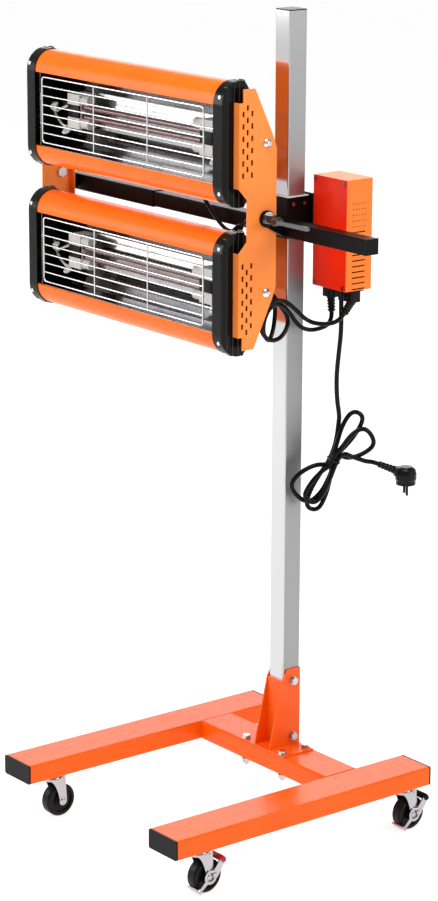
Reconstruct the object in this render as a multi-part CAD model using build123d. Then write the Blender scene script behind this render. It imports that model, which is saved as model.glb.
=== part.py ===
from build123d import *
import math
import os

# Infrared paint curing lamp: two lamp cassettes in a tilting head, on an arm
# whose carriage slides up and down a post on a wheeled H-shaped base.
# Millimetres, +Z up, the lamps face -Y, +X is to the right seen from the front.
# While building, x = 0 is the post, y = 0 the front of the base and z = 0 the
# floor; the finished pieces are moved to stand round the middle of their box.

# Sheet, tube and fit allowances
fit = 0.1
soft_gap = 0.3
overrun = 1.0

# Base beams
beam_width = 80.0
beam_height = 36.0
beam_wall = 2.0
beam_corner = 4.0
beam_length = 577.6
beam_spread = 444.0
end_cap_flange = 3.0
end_cap_plug_depth = 14.0
end_cap_wall = 2.5
cross_depth = 76.0
cross_front = 396.0

# Post and its folded bracket
post_side = 40.0
post_wall = 2.0
post_corner = 3.0
post_length = 1358.6
post_y = 450.0
post_cap_flange = 2.0
post_cap_plug = 18.0
bracket_gauge = 3.0
bracket_foot_width = 132.0
bracket_foot_depth = 72.0
bracket_foot_setback = 0.5
bracket_fin_height = 148.0
bracket_web_height = 128.0
bracket_fin_toe = 5.0
bracket_fin_setback = 3.5
bracket_fin_rear_inset = 1.5
bracket_fin_top_depth = 31.0
foot_bolt_spread = 106.0
foot_bolt_pitch = 55.0
post_bolt_low = 16.5
post_bolt_high = 125.0
post_bolt_y_offset = 2.0

# M8 hardware
m8_shank = 8.0
m8_hole = 8.4
m8_flats = 13.0
m8_head = 5.3
m8_nut = 6.5
m8_washer = 16.0
m8_washer_gauge = 1.6
m8_spare_thread = 4.0

# Swivel casters
caster_height = 91.0
wheel_diameter = 62.0
wheel_width = 22.0
wheel_hub_width = 27.0
wheel_hub_diameter = 20.0
wheel_recess_depth = 3.0
wheel_recess_inner = 26.0
wheel_recess_outer = 46.0
wheel_edge_round = 3.0
caster_trail = 15.0
front_caster_y = 76.0
rear_caster_inset = 33.0
race_diameter = 44.0
race_gauge = 2.5
race_neck_diameter = 20.0
crown_diameter = 46.0
crown_gauge = 4.5
crown_gap = 0.2
stem_pin_diameter = 12.0
stem_pin_head_diameter = 18.0
stem_pin_head_gauge = 2.0
stem_shank_diameter = 10.0
stem_nut_flats = 17.0
stem_nut_height = 8.0
race_stack = 7.5
fork_gauge = 2.5
fork_gap = 28.0
fork_leg_front = 15.0
fork_leg_rear = 21.0
fork_leg_end_radius = 8.5
axle_diameter = 8.0
axle_head_diameter = 12.0
axle_head_gauge = 1.8

# Caster brakes
brake_gauge = 2.5
brake_pivot_back = 9.5
brake_pivot_rise = 3.0
brake_stud_diameter = 6.0
brake_stud_head_diameter = 10.0
brake_stud_head_gauge = 1.5
brake_lug_radius = 7.5
brake_eye_radius = 13.0
brake_axle_window = 16.5
brake_shoe_gap = 1.0
brake_shoe_angle = 222.0
brake_shoe_gauge = 2.5
brake_shoe_length = 12.0
brake_arm_radius = 5.0
brake_tab_back = 27.0
brake_tab_rise = 27.0
brake_tab_gauge = 2.5
brake_tab_depth = 12.0
pedal_cover = 2.5
pedal_width = 30.0
pedal_angle = 45.0

# Carriage
sleeve_side = 50.0
sleeve_wall = 2.4
sleeve_corner = 2.0
sleeve_height = 73.0
sleeve_bottom = 1088.0
liner_gap = 0.25
liner_lip = 1.5
box_bracket_gauge = 3.0
box_bracket_height = 74.0
box_bracket_rise = 4.0
box_bracket_reach = 33.0
box_bracket_return = 48.0

# Height lock
knob_z = 1094.0
knob_y_offset = 4.5
knob_lobes = 4
knob_lobe_centre = 15.5
knob_lobe_radius = 6.5
knob_thickness = 12.0
knob_boss_diameter = 14.0
knob_boss_length = 5.0
knob_stud_diameter = 8.0
knob_nut_side = 18.0
knob_nut_gauge = 5.0

# Tilt axis and head plates
pivot_y = 358.0
pivot_z = 1135.0
plate_gauge = 2.0
plate_flange = 13.5
plate_rear = 23.0
plate_waist_front = 42.5
plate_front = 60.5
plate_tongue_front = 51.5
plate_tongue_rear = 26.0
plate_waist_half = 37.0
plate_chamfer_half = 57.0
plate_front_half = 206.5
plate_tongue_half = 230.0
plate_slant_y = 16.0
plate_slant_half = 143.0
plate_rear_half = 122.0
vent_width = 4.6
vent_height = 9.7
vent_pitch = 21.4
vent_count = 6
vent_columns = ((-51.5, 80.0), (-42.0, 90.7), (-32.0, 80.0))

# Pivots and the clamp lever
yoke_gauge = 5.0
yoke_width = 30.0
yoke_gap = 0.3
pivot_bolt_diameter = 10.0
pivot_washer_diameter = 26.0
pivot_washer_gauge = 2.0
pivot_head_diameter = 17.0
pivot_head_height = 6.0
clamp_stud_diameter = 16.0
clamp_stud_reach = 33.2
clamp_eye_thickness = 9.0
lever_length = 88.0
lever_thickness = 5.0
lever_width = 7.0
lever_eye_diameter = 15.0
lever_pin_diameter = 5.0
lever_pin_head_diameter = 9.0
lever_pin_head_gauge = 1.5

# Arm
arm_depth = 30.0
arm_height = 28.0
arm_wall = 2.0
arm_corner = 2.5
arm_drop = 22.0
arm_right_reach = 219.2
arm_left_reach = 22.5
arm_sleeve_wall = 1.5
arm_sleeve_end = -330.0
arm_plug_flange = 3.0
arm_plug_depth = 16.0
arm_plug_wall = 2.5

# Cassettes
cassette_pitch = 265.0
cassette_length = 591.7
head_x = -264.85
cassette_stand_off = 14.8
cassette_half = 111.0
cassette_front = 86.0
cassette_back = 14.0
cassette_corner = 40.0
cassette_shoulder = 36.0
cassette_back_half = 30.0
cassette_shoulder_round = 16.0
cassette_back_round = 9.0
cap_width = 25.0
cap_wall = 2.0
cap_end_wall = 3.0
cap_overlap = 14.0
housing_wall = 1.2
window_half = 69.5
lip_depth = 8.0
cap_screw_z = 84.0
cap_screw_inset = 8.0
cap_screw_head = 7.0
cap_screw_head_height = 2.4
cap_screw_shank = 3.5
cap_screw_length = 14.0
cassette_bolt_y = 1.5
dome_diameter = 17.0
dome_height = 6.0
dome_shares = ((0.25, 0.9), (0.4, 0.62))
reflector_gauge = 0.8
reflector_end_gap = 1.0
reflector_profile = ((-77.4, 69.5), (-73.0, 69.5), (-44.0, 64.0), (-20.0, 50.0), (-7.0, 34.0))
reflector_ridge = -13.0
quartz_diameter = 11.0
quartz_bore = 8.0
quartz_y = -36.0
quartz_spread = 18.0
quartz_end_inset = 107.0
holder_length = 37.0
holder_half = 32.0
holder_front = -47.0
holder_slot = 24.0
holder_slot_depth = 4.0
holder_overlap = 6.0
collar_diameter = 19.0
collar_length = 23.0
collar_spread = 44.0
grille_wire = 3.0
grille_y = -80.0
grille_rows = 8
grille_row_pitch = 17.5
grille_end_inset = 49.85
grille_offset = -9.15
grille_cross_count = 4
grille_cross_wire = 2.6
grille_corner = 7.0
grille_through_rows = (2, 5)
grille_sink_share = 0.6

# Leads on the head
lead_diameter = 8.0
link_diameter = 7.0
boot_root_diameter = 12.4
boot_tip_diameter = 11.0
boot_length = 46.0
boot_buried = 8.0
boot_rib_count = 5
boot_rib_depth = 1.0
lead_boot_insets = (18.6, 6.0)
lead_boot_slope = 47.0
lead_boot_z = 8.5
link_gland_x = (-150.0, -19.0)
link_gland_diameter = 15.0
link_gland_length = 30.0
link_gland_y = -26.0
gland_flange_share = 0.28
gland_nut_share = 0.5
gland_dome_share = 0.85
gland_neck_share = 0.38

# Control box
box_width = 90.0
box_depth = 60.0
box_height = 199.0
box_bottom = 1001.0
box_gauge = 1.5
box_cover_return = 10.0
vent_row_pitch = 10.2
vent_rows_dotted = 5
vent_rows_slotted = 11
vent_row_first = 43.0
vent_slot_length = 30.0
vent_slot_height = 2.4
vent_dot_diameter = 2.6
vent_dots = 5
m4_head = 7.0
m4_head_height = 2.2
m4_shank = 4.0
m4_length = 8.0
cover_screw_inset = 6.0
terminal_width = 56.0
terminal_depth = 24.0
terminal_height = 40.0
socket_spread = 57.0
socket_width = 30.0
socket_depth = 24.0
socket_height = 20.0
socket_flange = 2.0
plug_neck_height = 20.0
plug_boot_length = 28.0
plug_boot_root_diameter = 17.0
plug_width = 28.0
plug_depth = 22.0
gland_diameter = 16.0
gland_tip_diameter = 11.0
gland_length = 24.0

# Mains lead
cord_diameter = 8.5
cord_play = 0.3
tie_width = 4.0
tie_gauge = 1.2
mains_plug_diameter = 39.0
mains_plug_height = 22.0
mains_plug_face = 36.0
mains_pin_diameter = 4.8
mains_pin_length = 19.0
mains_pin_spread = 19.0
mains_boot_length = 38.0
mains_boot_root_diameter = 15.0
mains_boot_tip_diameter = 12.0

# Worked out from the sizes above
beam_x = beam_spread / 2
base_bottom = caster_height
base_top = caster_height + beam_height
base_depth = beam_length + 2 * end_cap_flange
post_bottom = base_top + bracket_gauge
post_top = post_bottom + post_length
post_half = post_side / 2
axle_z = wheel_diameter / 2
rear_caster_y = base_depth - rear_caster_inset
crown_top = caster_height - race_stack
crown_bottom = crown_top - crown_gauge
sleeve_half = sleeve_side / 2
sleeve_top = sleeve_bottom + sleeve_height
arm_back = post_y - sleeve_half
arm_front = arm_back - arm_depth
arm_z = pivot_z - arm_drop
cassette_end = cassette_length / 2
plate_right_x = head_x + cassette_end + cassette_stand_off + plate_gauge
plate_left_x = head_x - cassette_end - cassette_stand_off - plate_gauge
arm_left_end = plate_left_x - arm_left_reach
arm_right_end = plate_right_x + arm_right_reach
clamp_stud_end = plate_right_x + clamp_stud_reach
cassette_z = (pivot_z + cassette_pitch / 2, pivot_z - cassette_pitch / 2)
box_left = box_bracket_reach
box_front = post_y + sleeve_half + box_bracket_gauge
box_x = box_left + box_width / 2
box_y = box_front + box_depth / 2
box_top = box_bottom + box_height
yoke_right = (plate_right_x + yoke_gap, plate_right_x + yoke_gap + yoke_gauge)
yoke_left = (plate_left_x - yoke_gap - yoke_gauge, plate_left_x - yoke_gap)

nodes = {}
cord_nodes = []


def block(x0, x1, y0, y1, z0, z1):
    """A box between two corners."""
    size = Box(x1 - x0, y1 - y0, z1 - z0)
    return Pos((x0 + x1) / 2, (y0 + y1) / 2, (z0 + z1) / 2) * size


def rod_x(x0, x1, y, z, diameter):
    """A round bar along X."""
    return Pos((x0 + x1) / 2, y, z) * Rot(0, 90, 0) * Cylinder(diameter / 2, abs(x1 - x0))


def rod_y(y0, y1, x, z, diameter):
    """A round bar along Y."""
    return Pos(x, (y0 + y1) / 2, z) * Rot(90, 0, 0) * Cylinder(diameter / 2, abs(y1 - y0))


def rod_z(z0, z1, x, y, diameter):
    """A round bar along Z."""
    return Pos(x, y, (z0 + z1) / 2) * Cylinder(diameter / 2, abs(z1 - z0))


def hex_x(x0, x1, y, z, flats):
    """A hexagonal bar along X."""
    outline = Rot(0, 90, 0) * RegularPolygon(flats / 2, 6, major_radius=False)
    return Pos(x0, y, z) * extrude(outline, x1 - x0, dir=(1, 0, 0))


def hex_z(z0, z1, x, y, flats):
    """A hexagonal bar along Z."""
    outline = RegularPolygon(flats / 2, 6, major_radius=False)
    return Pos(x, y, z0) * extrude(outline, z1 - z0, dir=(0, 0, 1))


def square_tube(width, depth, wall, corner, length):
    """A square tube along Z from z = 0, with rounded outer corners."""
    outer = RectangleRounded(width, depth, corner)
    inner_corner = max(corner - wall, corner / 4)
    inner = RectangleRounded(width - 2 * wall, depth - 2 * wall, inner_corner)
    return extrude(outer - inner, length, dir=(0, 0, 1))


def plate_yz(points, x0, x1):
    """A plate across X whose outline is given as (y, z) points."""
    outline = make_face(Polyline([(x0, y, z) for y, z in points], close=True))
    return extrude(outline, x1 - x0, dir=(1, 0, 0))


def bar_hull(first, first_radius, second, second_radius, x0, x1):
    """A plate across X that joins two round ends given as (y, z)."""
    ends = []
    for (y, z), radius in ((first, first_radius), (second, second_radius)):
        ends.append(Pos(y, z) * Circle(radius))
    edges = [edge for end in ends for edge in end.edges()]
    outline = make_hull(edges)
    upright = Plane(origin=(x0, 0, 0), x_dir=(0, 1, 0), z_dir=(1, 0, 0))
    return extrude(upright * outline, x1 - x0, dir=(1, 0, 0))


def turned(points, origin, axis):
    """A solid turned about an axis: points are (radius, height) from the origin."""
    frame = Plane(origin=origin, z_dir=axis)
    outline = make_face(Polyline([(r, 0, h) for r, h in points], close=True))
    return frame * revolve(outline, Axis.Z)


def keep(name, shape, cord=False):
    """Store a piece under its node's name."""
    nodes[name] = shape
    if cord:
        cord_nodes.append(name)


def group(solids):
    """Several separate solids kept in one node."""
    flat = []
    for solid in solids:
        flat.extend(solid.solids())
    return Compound(children=flat)


def cord_wire(points):
    """Straight runs joined by tangent arcs as large as the runs allow."""
    vectors = [Vector(*p) for p in points]
    runs = [vectors[i + 1] - vectors[i] for i in range(len(vectors) - 1)]
    radii = []
    for before, after in zip(runs[:-1], runs[1:]):
        turn = math.radians(before.get_angle(after))
        shorter = min(before.length, after.length)
        radii.append(run_share * shorter / math.tan(turn / 2))
    return FilletPolyline(*vectors, radius=radii), radii


def cord_solid(name, points, diameter):
    """A round cord along a route, checked against its section times its length."""
    wire, radii = cord_wire(points)
    start = Plane(origin=wire @ 0, z_dir=wire % 0)
    tube = sweep(start * Circle(diameter / 2), path=wire)
    section = math.pi * diameter**2 / 4
    ratio = tube.volume / (section * wire.length)
    print(name, "length", round(wire.length, 1), "volume ratio", round(ratio, 4))
    print(name, "radii", [round(r, 1) for r in radii])
    return tube, wire


def least_gap(wire, diameter, count, skip):
    """Smallest clear distance from a wound cord to itself, on sampled points."""
    spots = [wire @ (i / count) for i in range(count + 1)]
    least = None
    for i, a in enumerate(spots):
        for b in spots[i + skip :]:
            distance = (a - b).length
            least = distance if least is None else min(least, distance)
    return least - diameter


run_share = 0.45


def make_beam(x):
    """One base beam with the holes of its two casters."""
    tube = square_tube(beam_width, beam_height, beam_wall, beam_corner, beam_length)
    centre = base_bottom + beam_height / 2
    beam = Pos(x, end_cap_flange, centre) * Rot(-90, 0, 0) * tube
    for y in (front_caster_y, rear_caster_y):
        hole = stem_shank_diameter + 2 * fit
        beam -= rod_z(base_bottom - overrun, base_bottom + beam_wall + overrun, x, y, hole)
    return beam


def make_end_caps():
    """Four plug-in caps that close the beams."""
    caps = []
    centre = base_bottom + beam_height / 2
    plug_width = beam_width - 2 * beam_wall - 2 * fit
    plug_height = beam_height - 2 * beam_wall - 2 * fit
    corner = beam_corner - beam_wall
    for x in (-beam_x, beam_x):
        for side in (0, 1):
            flange = extrude(RectangleRounded(beam_width, beam_height, beam_corner), end_cap_flange)
            plug = extrude(RectangleRounded(plug_width, plug_height, corner), end_cap_plug_depth)
            hollow_width = plug_width - 2 * end_cap_wall
            hollow_height = plug_height - 2 * end_cap_wall
            plug -= extrude(Rectangle(hollow_width, hollow_height), end_cap_plug_depth)
            cap = flange + Pos(0, 0, end_cap_flange) * plug
            if side:
                caps.append(Pos(x, base_depth, centre) * Rot(90, 0, 0) * cap)
            else:
                caps.append(Pos(x, 0, centre) * Rot(-90, 0, 0) * cap)
    return group(caps)


def foot_bolt_places():
    """Where the bracket is bolted to the crossbeam."""
    middle = cross_front + cross_depth / 2 - (cross_depth - bracket_foot_depth) / 2
    middle -= bracket_foot_setback
    half = foot_bolt_pitch / 2
    spots = []
    for x in (-foot_bolt_spread / 2, foot_bolt_spread / 2):
        for y in (middle - half, middle + half):
            spots.append((x, y))
    return spots


def post_bolt_heights():
    return (post_bottom + post_bolt_low, post_bottom + post_bolt_high)


def make_crossbeam():
    """The tube between the two beams, drilled for the bracket."""
    reach = beam_x - beam_width / 2
    tube = square_tube(beam_height, cross_depth, beam_wall, beam_corner, 2 * reach)
    centre_y = cross_front + cross_depth / 2
    cross = Pos(-reach, centre_y, base_top - beam_height / 2) * Rot(0, 90, 0) * tube
    for x, y in foot_bolt_places():
        cross -= rod_z(base_bottom - overrun, base_top + overrun, x, y, m8_hole)
    return cross


def make_post_bracket():
    """A foot plate with two fins and a web in front of the post."""
    foot_front = cross_front - bracket_foot_setback
    foot_rear = foot_front + bracket_foot_depth
    foot_half = bracket_foot_width / 2
    bracket = block(-foot_half, foot_half, foot_front, foot_rear, base_top, post_bottom)
    fin_front = foot_front + bracket_fin_setback
    fin_rear = foot_rear - bracket_fin_rear_inset + bracket_gauge
    web_back = post_y - post_half
    top = post_bottom + bracket_fin_height
    web_top = post_bottom + bracket_web_height
    outline = [
        (fin_front, base_top),
        (fin_front, post_bottom + bracket_fin_toe),
        (web_back - bracket_gauge, web_top),
        (fin_rear - bracket_fin_top_depth, top),
        (fin_rear, top),
        (fin_rear, base_top),
    ]
    for side in (-1, 1):
        x0, x1 = sorted((side * post_half, side * (post_half + bracket_gauge)))
        bracket += plate_yz(outline, x0, x1)
    bracket += block(-post_half, post_half, web_back - bracket_gauge, web_back, post_bottom, web_top)
    for x, y in foot_bolt_places():
        bracket -= rod_z(base_top - overrun, post_bottom + overrun, x, y, m8_hole)
    reach = post_half + bracket_gauge + overrun
    for z in post_bolt_heights():
        bracket -= rod_x(-reach, reach, post_y + post_bolt_y_offset, z, m8_hole)
    return bracket


def make_post():
    """The square post, drilled for its two bolts."""
    post = square_tube(post_side, post_side, post_wall, post_corner, post_length)
    post = Pos(0, post_y, post_bottom) * post
    for z in post_bolt_heights():
        post -= rod_x(-post_half - overrun, post_half + overrun, post_y + post_bolt_y_offset, z, m8_hole)
    return post


def make_post_cap():
    """The cap that closes the post."""
    flange = extrude(RectangleRounded(post_side, post_side, post_corner), post_cap_flange)
    plug_side = post_side - 2 * post_wall - 2 * fit
    plug = extrude(RectangleRounded(plug_side, plug_side, post_corner - post_wall), -post_cap_plug)
    plug -= extrude(Rectangle(plug_side - 2 * end_cap_wall, plug_side - 2 * end_cap_wall), -post_cap_plug)
    return Pos(0, post_y, post_top) * (flange + plug)


def make_m8_hardware():
    """Bolts, washers and nuts of the bracket's foot and of the post."""
    foot_bolts, post_bolts, washers, nuts = [], [], [], []
    for x, y in foot_bolt_places():
        for z in (post_bottom, base_bottom - m8_washer_gauge):
            ring = rod_z(z, z + m8_washer_gauge, x, y, m8_washer)
            washers.append(ring - rod_z(z, z + m8_washer_gauge, x, y, m8_hole))
        seat = post_bottom + m8_washer_gauge
        nut_top = base_bottom - m8_washer_gauge
        end = nut_top - m8_nut - m8_spare_thread
        bolt = hex_z(seat, seat + m8_head, x, y, m8_flats) + rod_z(end, seat, x, y, m8_shank)
        foot_bolts.append(bolt)
        nut = hex_z(nut_top - m8_nut, nut_top, x, y, m8_flats)
        nuts.append(nut - rod_z(nut_top - m8_nut, nut_top, x, y, m8_shank))
    y = post_y + post_bolt_y_offset
    outside = post_half + bracket_gauge
    for z in post_bolt_heights():
        for x0 in (outside, -outside - m8_washer_gauge):
            ring = rod_x(x0, x0 + m8_washer_gauge, y, z, m8_washer)
            washers.append(ring - rod_x(x0, x0 + m8_washer_gauge, y, z, m8_hole))
        seat = outside + m8_washer_gauge
        end = -seat - m8_nut - m8_spare_thread
        bolt = hex_x(seat, seat + m8_head, y, z, m8_flats) + rod_x(end, seat, y, z, m8_shank)
        post_bolts.append(bolt)
        nut = hex_x(-seat - m8_nut, -seat, y, z, m8_flats)
        nuts.append(nut - rod_x(-seat - m8_nut, -seat, y, z, m8_shank))
    keep("m8_bolts", group(foot_bolts + post_bolts))
    keep("m8_nuts_washers", group(nuts + washers))


def caster_places():
    """Names, swivel axes and which casters have a brake."""
    return (
        ("fl", -beam_x, front_caster_y, False),
        ("fr", beam_x, front_caster_y, True),
        ("rl", -beam_x, rear_caster_y, False),
        ("rr", beam_x, rear_caster_y, True),
    )


def make_caster_stems():
    """The race and stem bolted up through each beam, and its nut."""
    solids = []
    floor_in = base_bottom + beam_wall
    shank_top = floor_in + stem_nut_height + m8_spare_thread
    pin_bottom = crown_bottom - crown_gap
    head_bottom = pin_bottom - stem_pin_head_gauge
    profile = [
        (0, head_bottom),
        (stem_pin_head_diameter / 2, head_bottom),
        (stem_pin_head_diameter / 2, pin_bottom),
        (stem_pin_diameter / 2, pin_bottom),
        (stem_pin_diameter / 2, crown_top + crown_gap),
        (race_neck_diameter / 2, crown_top + crown_gap),
        (race_neck_diameter / 2, base_bottom - race_gauge),
        (race_diameter / 2, base_bottom - race_gauge),
        (race_diameter / 2, base_bottom),
        (stem_shank_diameter / 2, base_bottom),
        (stem_shank_diameter / 2, shank_top),
        (0, shank_top),
    ]
    for name, x, y, braked in caster_places():
        solids.append(turned(profile, (x, y, 0), (0, 0, 1)))
        nut = hex_z(floor_in, floor_in + stem_nut_height, x, y, stem_nut_flats)
        solids.append(nut - rod_z(floor_in, floor_in + stem_nut_height, x, y, stem_shank_diameter))
    return group(solids)


def brake_pivot(y):
    """The brake lever's pivot, as (y, z)."""
    return (y + caster_trail + brake_pivot_back, axle_z + brake_pivot_rise)


def make_fork(x, y, braked):
    """A caster's fork with its riveted axle."""
    fork = rod_z(crown_bottom, crown_top, x, y, crown_diameter)
    axle_y = y + caster_trail
    outline = [
        (y - fork_leg_front, crown_top),
        (y - fork_leg_front, crown_bottom),
        (axle_y - fork_leg_end_radius, axle_z),
        (axle_y + fork_leg_end_radius, axle_z),
        (y + fork_leg_rear, crown_bottom),
        (y + fork_leg_rear, crown_top),
    ]
    inner = fork_gap / 2
    outer = inner + fork_gauge
    for side in (-1, 1):
        x0, x1 = sorted((x + side * inner, x + side * outer))
        fork += plate_yz(outline, x0, x1)
        fork += rod_x(x0, x1, axle_y, axle_z, 2 * fork_leg_end_radius)
    if braked:
        py, pz = brake_pivot(y)
        axle = (axle_y, axle_z)
        fork += bar_hull(axle, fork_leg_end_radius, (py, pz), brake_lug_radius, x + inner, x + outer)
        stud_end = x + outer + brake_gauge + 2 * fit
        fork += rod_x(x + inner, stud_end, py, pz, brake_stud_diameter)
        fork += rod_x(stud_end, stud_end + brake_stud_head_gauge, py, pz, brake_stud_head_diameter)
    fork -= rod_z(crown_bottom - overrun, crown_top + overrun, x, y, stem_pin_diameter + fit)
    fork -= rod_x(x - outer - overrun, x + outer + overrun, axle_y, axle_z, axle_diameter)
    axle = rod_x(x - outer, x + outer, axle_y, axle_z, axle_diameter)
    for side in (-1, 1):
        x0, x1 = sorted((x + side * outer, x + side * (outer + axle_head_gauge)))
        axle += rod_x(x0, x1, axle_y, axle_z, axle_head_diameter)
    return group([fork, axle])


def make_wheel(x, y):
    """A solid wheel with a hub that turns on the axle."""
    half = wheel_width / 2
    hub = wheel_hub_width / 2
    outer = wheel_diameter / 2
    bore = (axle_diameter + fit) / 2
    floor = half - wheel_recess_depth
    half_profile = [
        (bore, hub),
        (wheel_hub_diameter / 2, hub),
        (wheel_hub_diameter / 2, half),
        (wheel_recess_inner / 2, half),
        (wheel_recess_inner / 2, floor),
        (wheel_recess_outer / 2, floor),
        (wheel_recess_outer / 2, half),
        (outer - wheel_edge_round, half),
        (outer, half - wheel_edge_round),
    ]
    profile = half_profile + [(r, -h) for r, h in reversed(half_profile)]
    return turned(profile, (x, y + caster_trail, axle_z), (1, 0, 0))


def brake_tab_place(y):
    """The middle of the pedal tab, as (y, z)."""
    return (y + caster_trail + brake_tab_back, axle_z + brake_tab_rise)


def make_brake_lever(x, y):
    """A lever outside the fork, with a shoe under the tread and a tab above it."""
    inner = x + fork_gap / 2 + fork_gauge + fit
    outer = inner + brake_gauge
    axle = (y + caster_trail, axle_z)
    pivot = brake_pivot(y)
    tab = brake_tab_place(y)
    angle = math.radians(brake_shoe_angle)
    reach = wheel_diameter / 2 + brake_shoe_gap + brake_shoe_gauge / 2
    shoe = (axle[0] + reach * math.cos(angle), axle[1] + reach * math.sin(angle))
    eye = 2 * brake_eye_radius
    lever = rod_x(inner, outer, axle[0], axle[1], eye)
    lever += bar_hull(shoe, brake_shoe_gauge, axle, brake_arm_radius, inner, outer)
    lever += bar_hull(pivot, brake_lug_radius, tab, brake_tab_depth / 2, inner, outer)
    lever += bar_hull(pivot, brake_lug_radius, axle, brake_arm_radius, inner, outer)
    lever -= rod_x(inner - overrun, outer + overrun, axle[0], axle[1], brake_axle_window)
    lever -= rod_x(inner - overrun, outer + overrun, pivot[0], pivot[1], brake_stud_diameter + fit)
    shoe_plate = Box(outer - x + wheel_width / 2, brake_shoe_length, brake_shoe_gauge)
    shoe_middle = (outer + x - wheel_width / 2) / 2
    lever += Pos(shoe_middle, shoe[0], shoe[1]) * Rot(brake_shoe_angle - 270, 0, 0) * shoe_plate
    tab_plate = Box(outer - x + pedal_width / 2, brake_tab_depth, brake_tab_gauge)
    tab_middle = (outer + x - pedal_width / 2) / 2
    lever += Pos(tab_middle, tab[0], tab[1]) * Rot(-pedal_angle, 0, 0) * tab_plate
    return lever


def make_brake_pedal(x, y):
    """A moulded cover over the lever's tab."""
    tab = brake_tab_place(y)
    depth = brake_tab_depth + 2 * pedal_cover
    gauge = brake_tab_gauge + 2 * pedal_cover
    left = x - pedal_width / 2 - pedal_cover
    right = x + fork_gap / 2 + fork_gauge
    cover = Box(right - left, depth, gauge)
    cover = fillet(cover.edges().filter_by(Axis.X), gauge / 3)
    slot_left = x - pedal_width / 2
    slot = Box(right + overrun - slot_left, brake_tab_depth, brake_tab_gauge)
    place = Rot(-pedal_angle, 0, 0)
    body = Pos((left + right) / 2, tab[0], tab[1]) * place * cover
    cut = Pos((slot_left + right + overrun) / 2, tab[0], tab[1]) * place * slot
    return body - cut


def make_sleeve():
    """The square sleeve that slides on the post."""
    tube = square_tube(sleeve_side, sleeve_side, sleeve_wall, sleeve_corner, sleeve_height)
    sleeve = Pos(0, post_y, sleeve_bottom) * tube
    y = post_y + knob_y_offset
    hole = knob_stud_diameter + 2 * fit
    sleeve -= rod_x(sleeve_half - sleeve_wall - overrun, sleeve_half + overrun, y, knob_z, hole)
    for sy, sz in sleeve_screw_places():
        sleeve -= rod_x(sleeve_half - sleeve_wall - overrun, sleeve_half + overrun, sy, sz, m4_shank + fit)
    return sleeve


def sleeve_screw_places():
    """Two small screws that hold the liner, as (y, z)."""
    z = sleeve_top - sleeve_height / 6
    return ((post_y - sleeve_half / 2, z), (post_y + sleeve_half / 2, z))


def make_liner():
    """The plastic liner between the sleeve and the post."""
    outer = sleeve_side - 2 * sleeve_wall - fit
    inner = post_side + 2 * liner_gap
    lip = sleeve_side
    wall = (outer - inner) / 2
    liner = square_tube(outer, outer, wall, sleeve_corner, sleeve_height)
    liner = Pos(0, post_y, sleeve_bottom) * liner
    rim = square_tube(lip, lip, (lip - inner) / 2, sleeve_corner, liner_lip)
    liner += Pos(0, post_y, sleeve_top) * rim
    y = post_y + knob_y_offset
    liner -= rod_x(post_half, outer, y, knob_z, knob_stud_diameter + 2 * fit)
    for sy, sz in sleeve_screw_places():
        liner -= rod_x(post_half, outer, sy, sz, m4_shank)
    return liner


def make_box_bracket():
    """A folded plate from the back of the sleeve to the side of the box."""
    back = post_y + sleeve_half
    z0 = sleeve_bottom + box_bracket_rise
    z1 = z0 + box_bracket_height
    plate = block(-sleeve_half, box_bracket_reach, back, back + box_bracket_gauge, z0, z1)
    side = block(
        box_bracket_reach - box_bracket_gauge,
        box_bracket_reach,
        back,
        back + box_bracket_gauge + box_bracket_return,
        z0,
        z1,
    )
    return plate + side


def make_knob():
    """A star knob whose stud presses on the post."""
    y = post_y + knob_y_offset
    seat = sleeve_half + knob_nut_gauge + soft_gap
    x0 = seat + knob_boss_length
    knob = rod_x(seat, x0 + knob_thickness, y, knob_z, knob_boss_diameter)
    for i in range(knob_lobes):
        angle = math.radians(270 + 360 * i / knob_lobes)
        tip = (y + knob_lobe_centre * math.cos(angle), knob_z + knob_lobe_centre * math.sin(angle))
        knob += bar_hull((y, knob_z), knob_boss_diameter / 2, tip, knob_lobe_radius, x0, x0 + knob_thickness)
    knob += rod_x(post_half + liner_gap, x0, y, knob_z, knob_stud_diameter)
    return knob


def make_knob_nut():
    """The square weld nut that the knob's stud screws through."""
    y = post_y + knob_y_offset
    half = knob_nut_side / 2
    face = sleeve_half + knob_nut_gauge
    nut = block(sleeve_half, face, y - half, y + half, knob_z - half / 2, knob_z + half)
    return nut - rod_x(sleeve_half - overrun, face + overrun, y, knob_z, knob_stud_diameter + fit)


def make_arm():
    """The square arm across the front of the sleeve, and its outer tube."""
    centre_y = arm_back - arm_depth / 2
    tube = square_tube(arm_height, arm_depth, arm_wall, arm_corner, arm_right_end - arm_left_end)
    arm = Pos(arm_left_end, centre_y, arm_z) * Rot(0, 90, 0) * tube
    over_height = arm_height + 2 * arm_sleeve_wall
    over_depth = arm_depth + 2 * arm_sleeve_wall
    over_wall = arm_sleeve_wall - fit / 2
    over = square_tube(over_height, over_depth, over_wall, arm_corner, arm_sleeve_end - arm_left_end)
    outer = Pos(arm_left_end, centre_y, arm_z) * Rot(0, 90, 0) * over
    return group([arm, outer])


def make_arm_plugs():
    """Plugs that close both ends of the arm."""
    plugs = []
    centre_y = arm_back - arm_depth / 2
    inner_h = arm_height - 2 * arm_wall - 2 * fit
    inner_d = arm_depth - 2 * arm_wall - 2 * fit
    for side, x in ((1, arm_right_end), (-1, arm_left_end)):
        flange = Box(arm_plug_flange, arm_depth, arm_height)
        plug = Pos(side * arm_plug_flange / 2, 0, 0) * flange
        body = Box(arm_plug_depth, inner_d, inner_h)
        body = fillet(body.edges().filter_by(Axis.X), arm_corner / 2)
        body -= Box(arm_plug_depth, inner_d - 2 * arm_plug_wall, inner_h - 2 * arm_plug_wall)
        plug += Pos(-side * arm_plug_depth / 2, 0, 0) * body
        plugs.append(Pos(x, centre_y, arm_z) * plug)
    return group(plugs)


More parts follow.
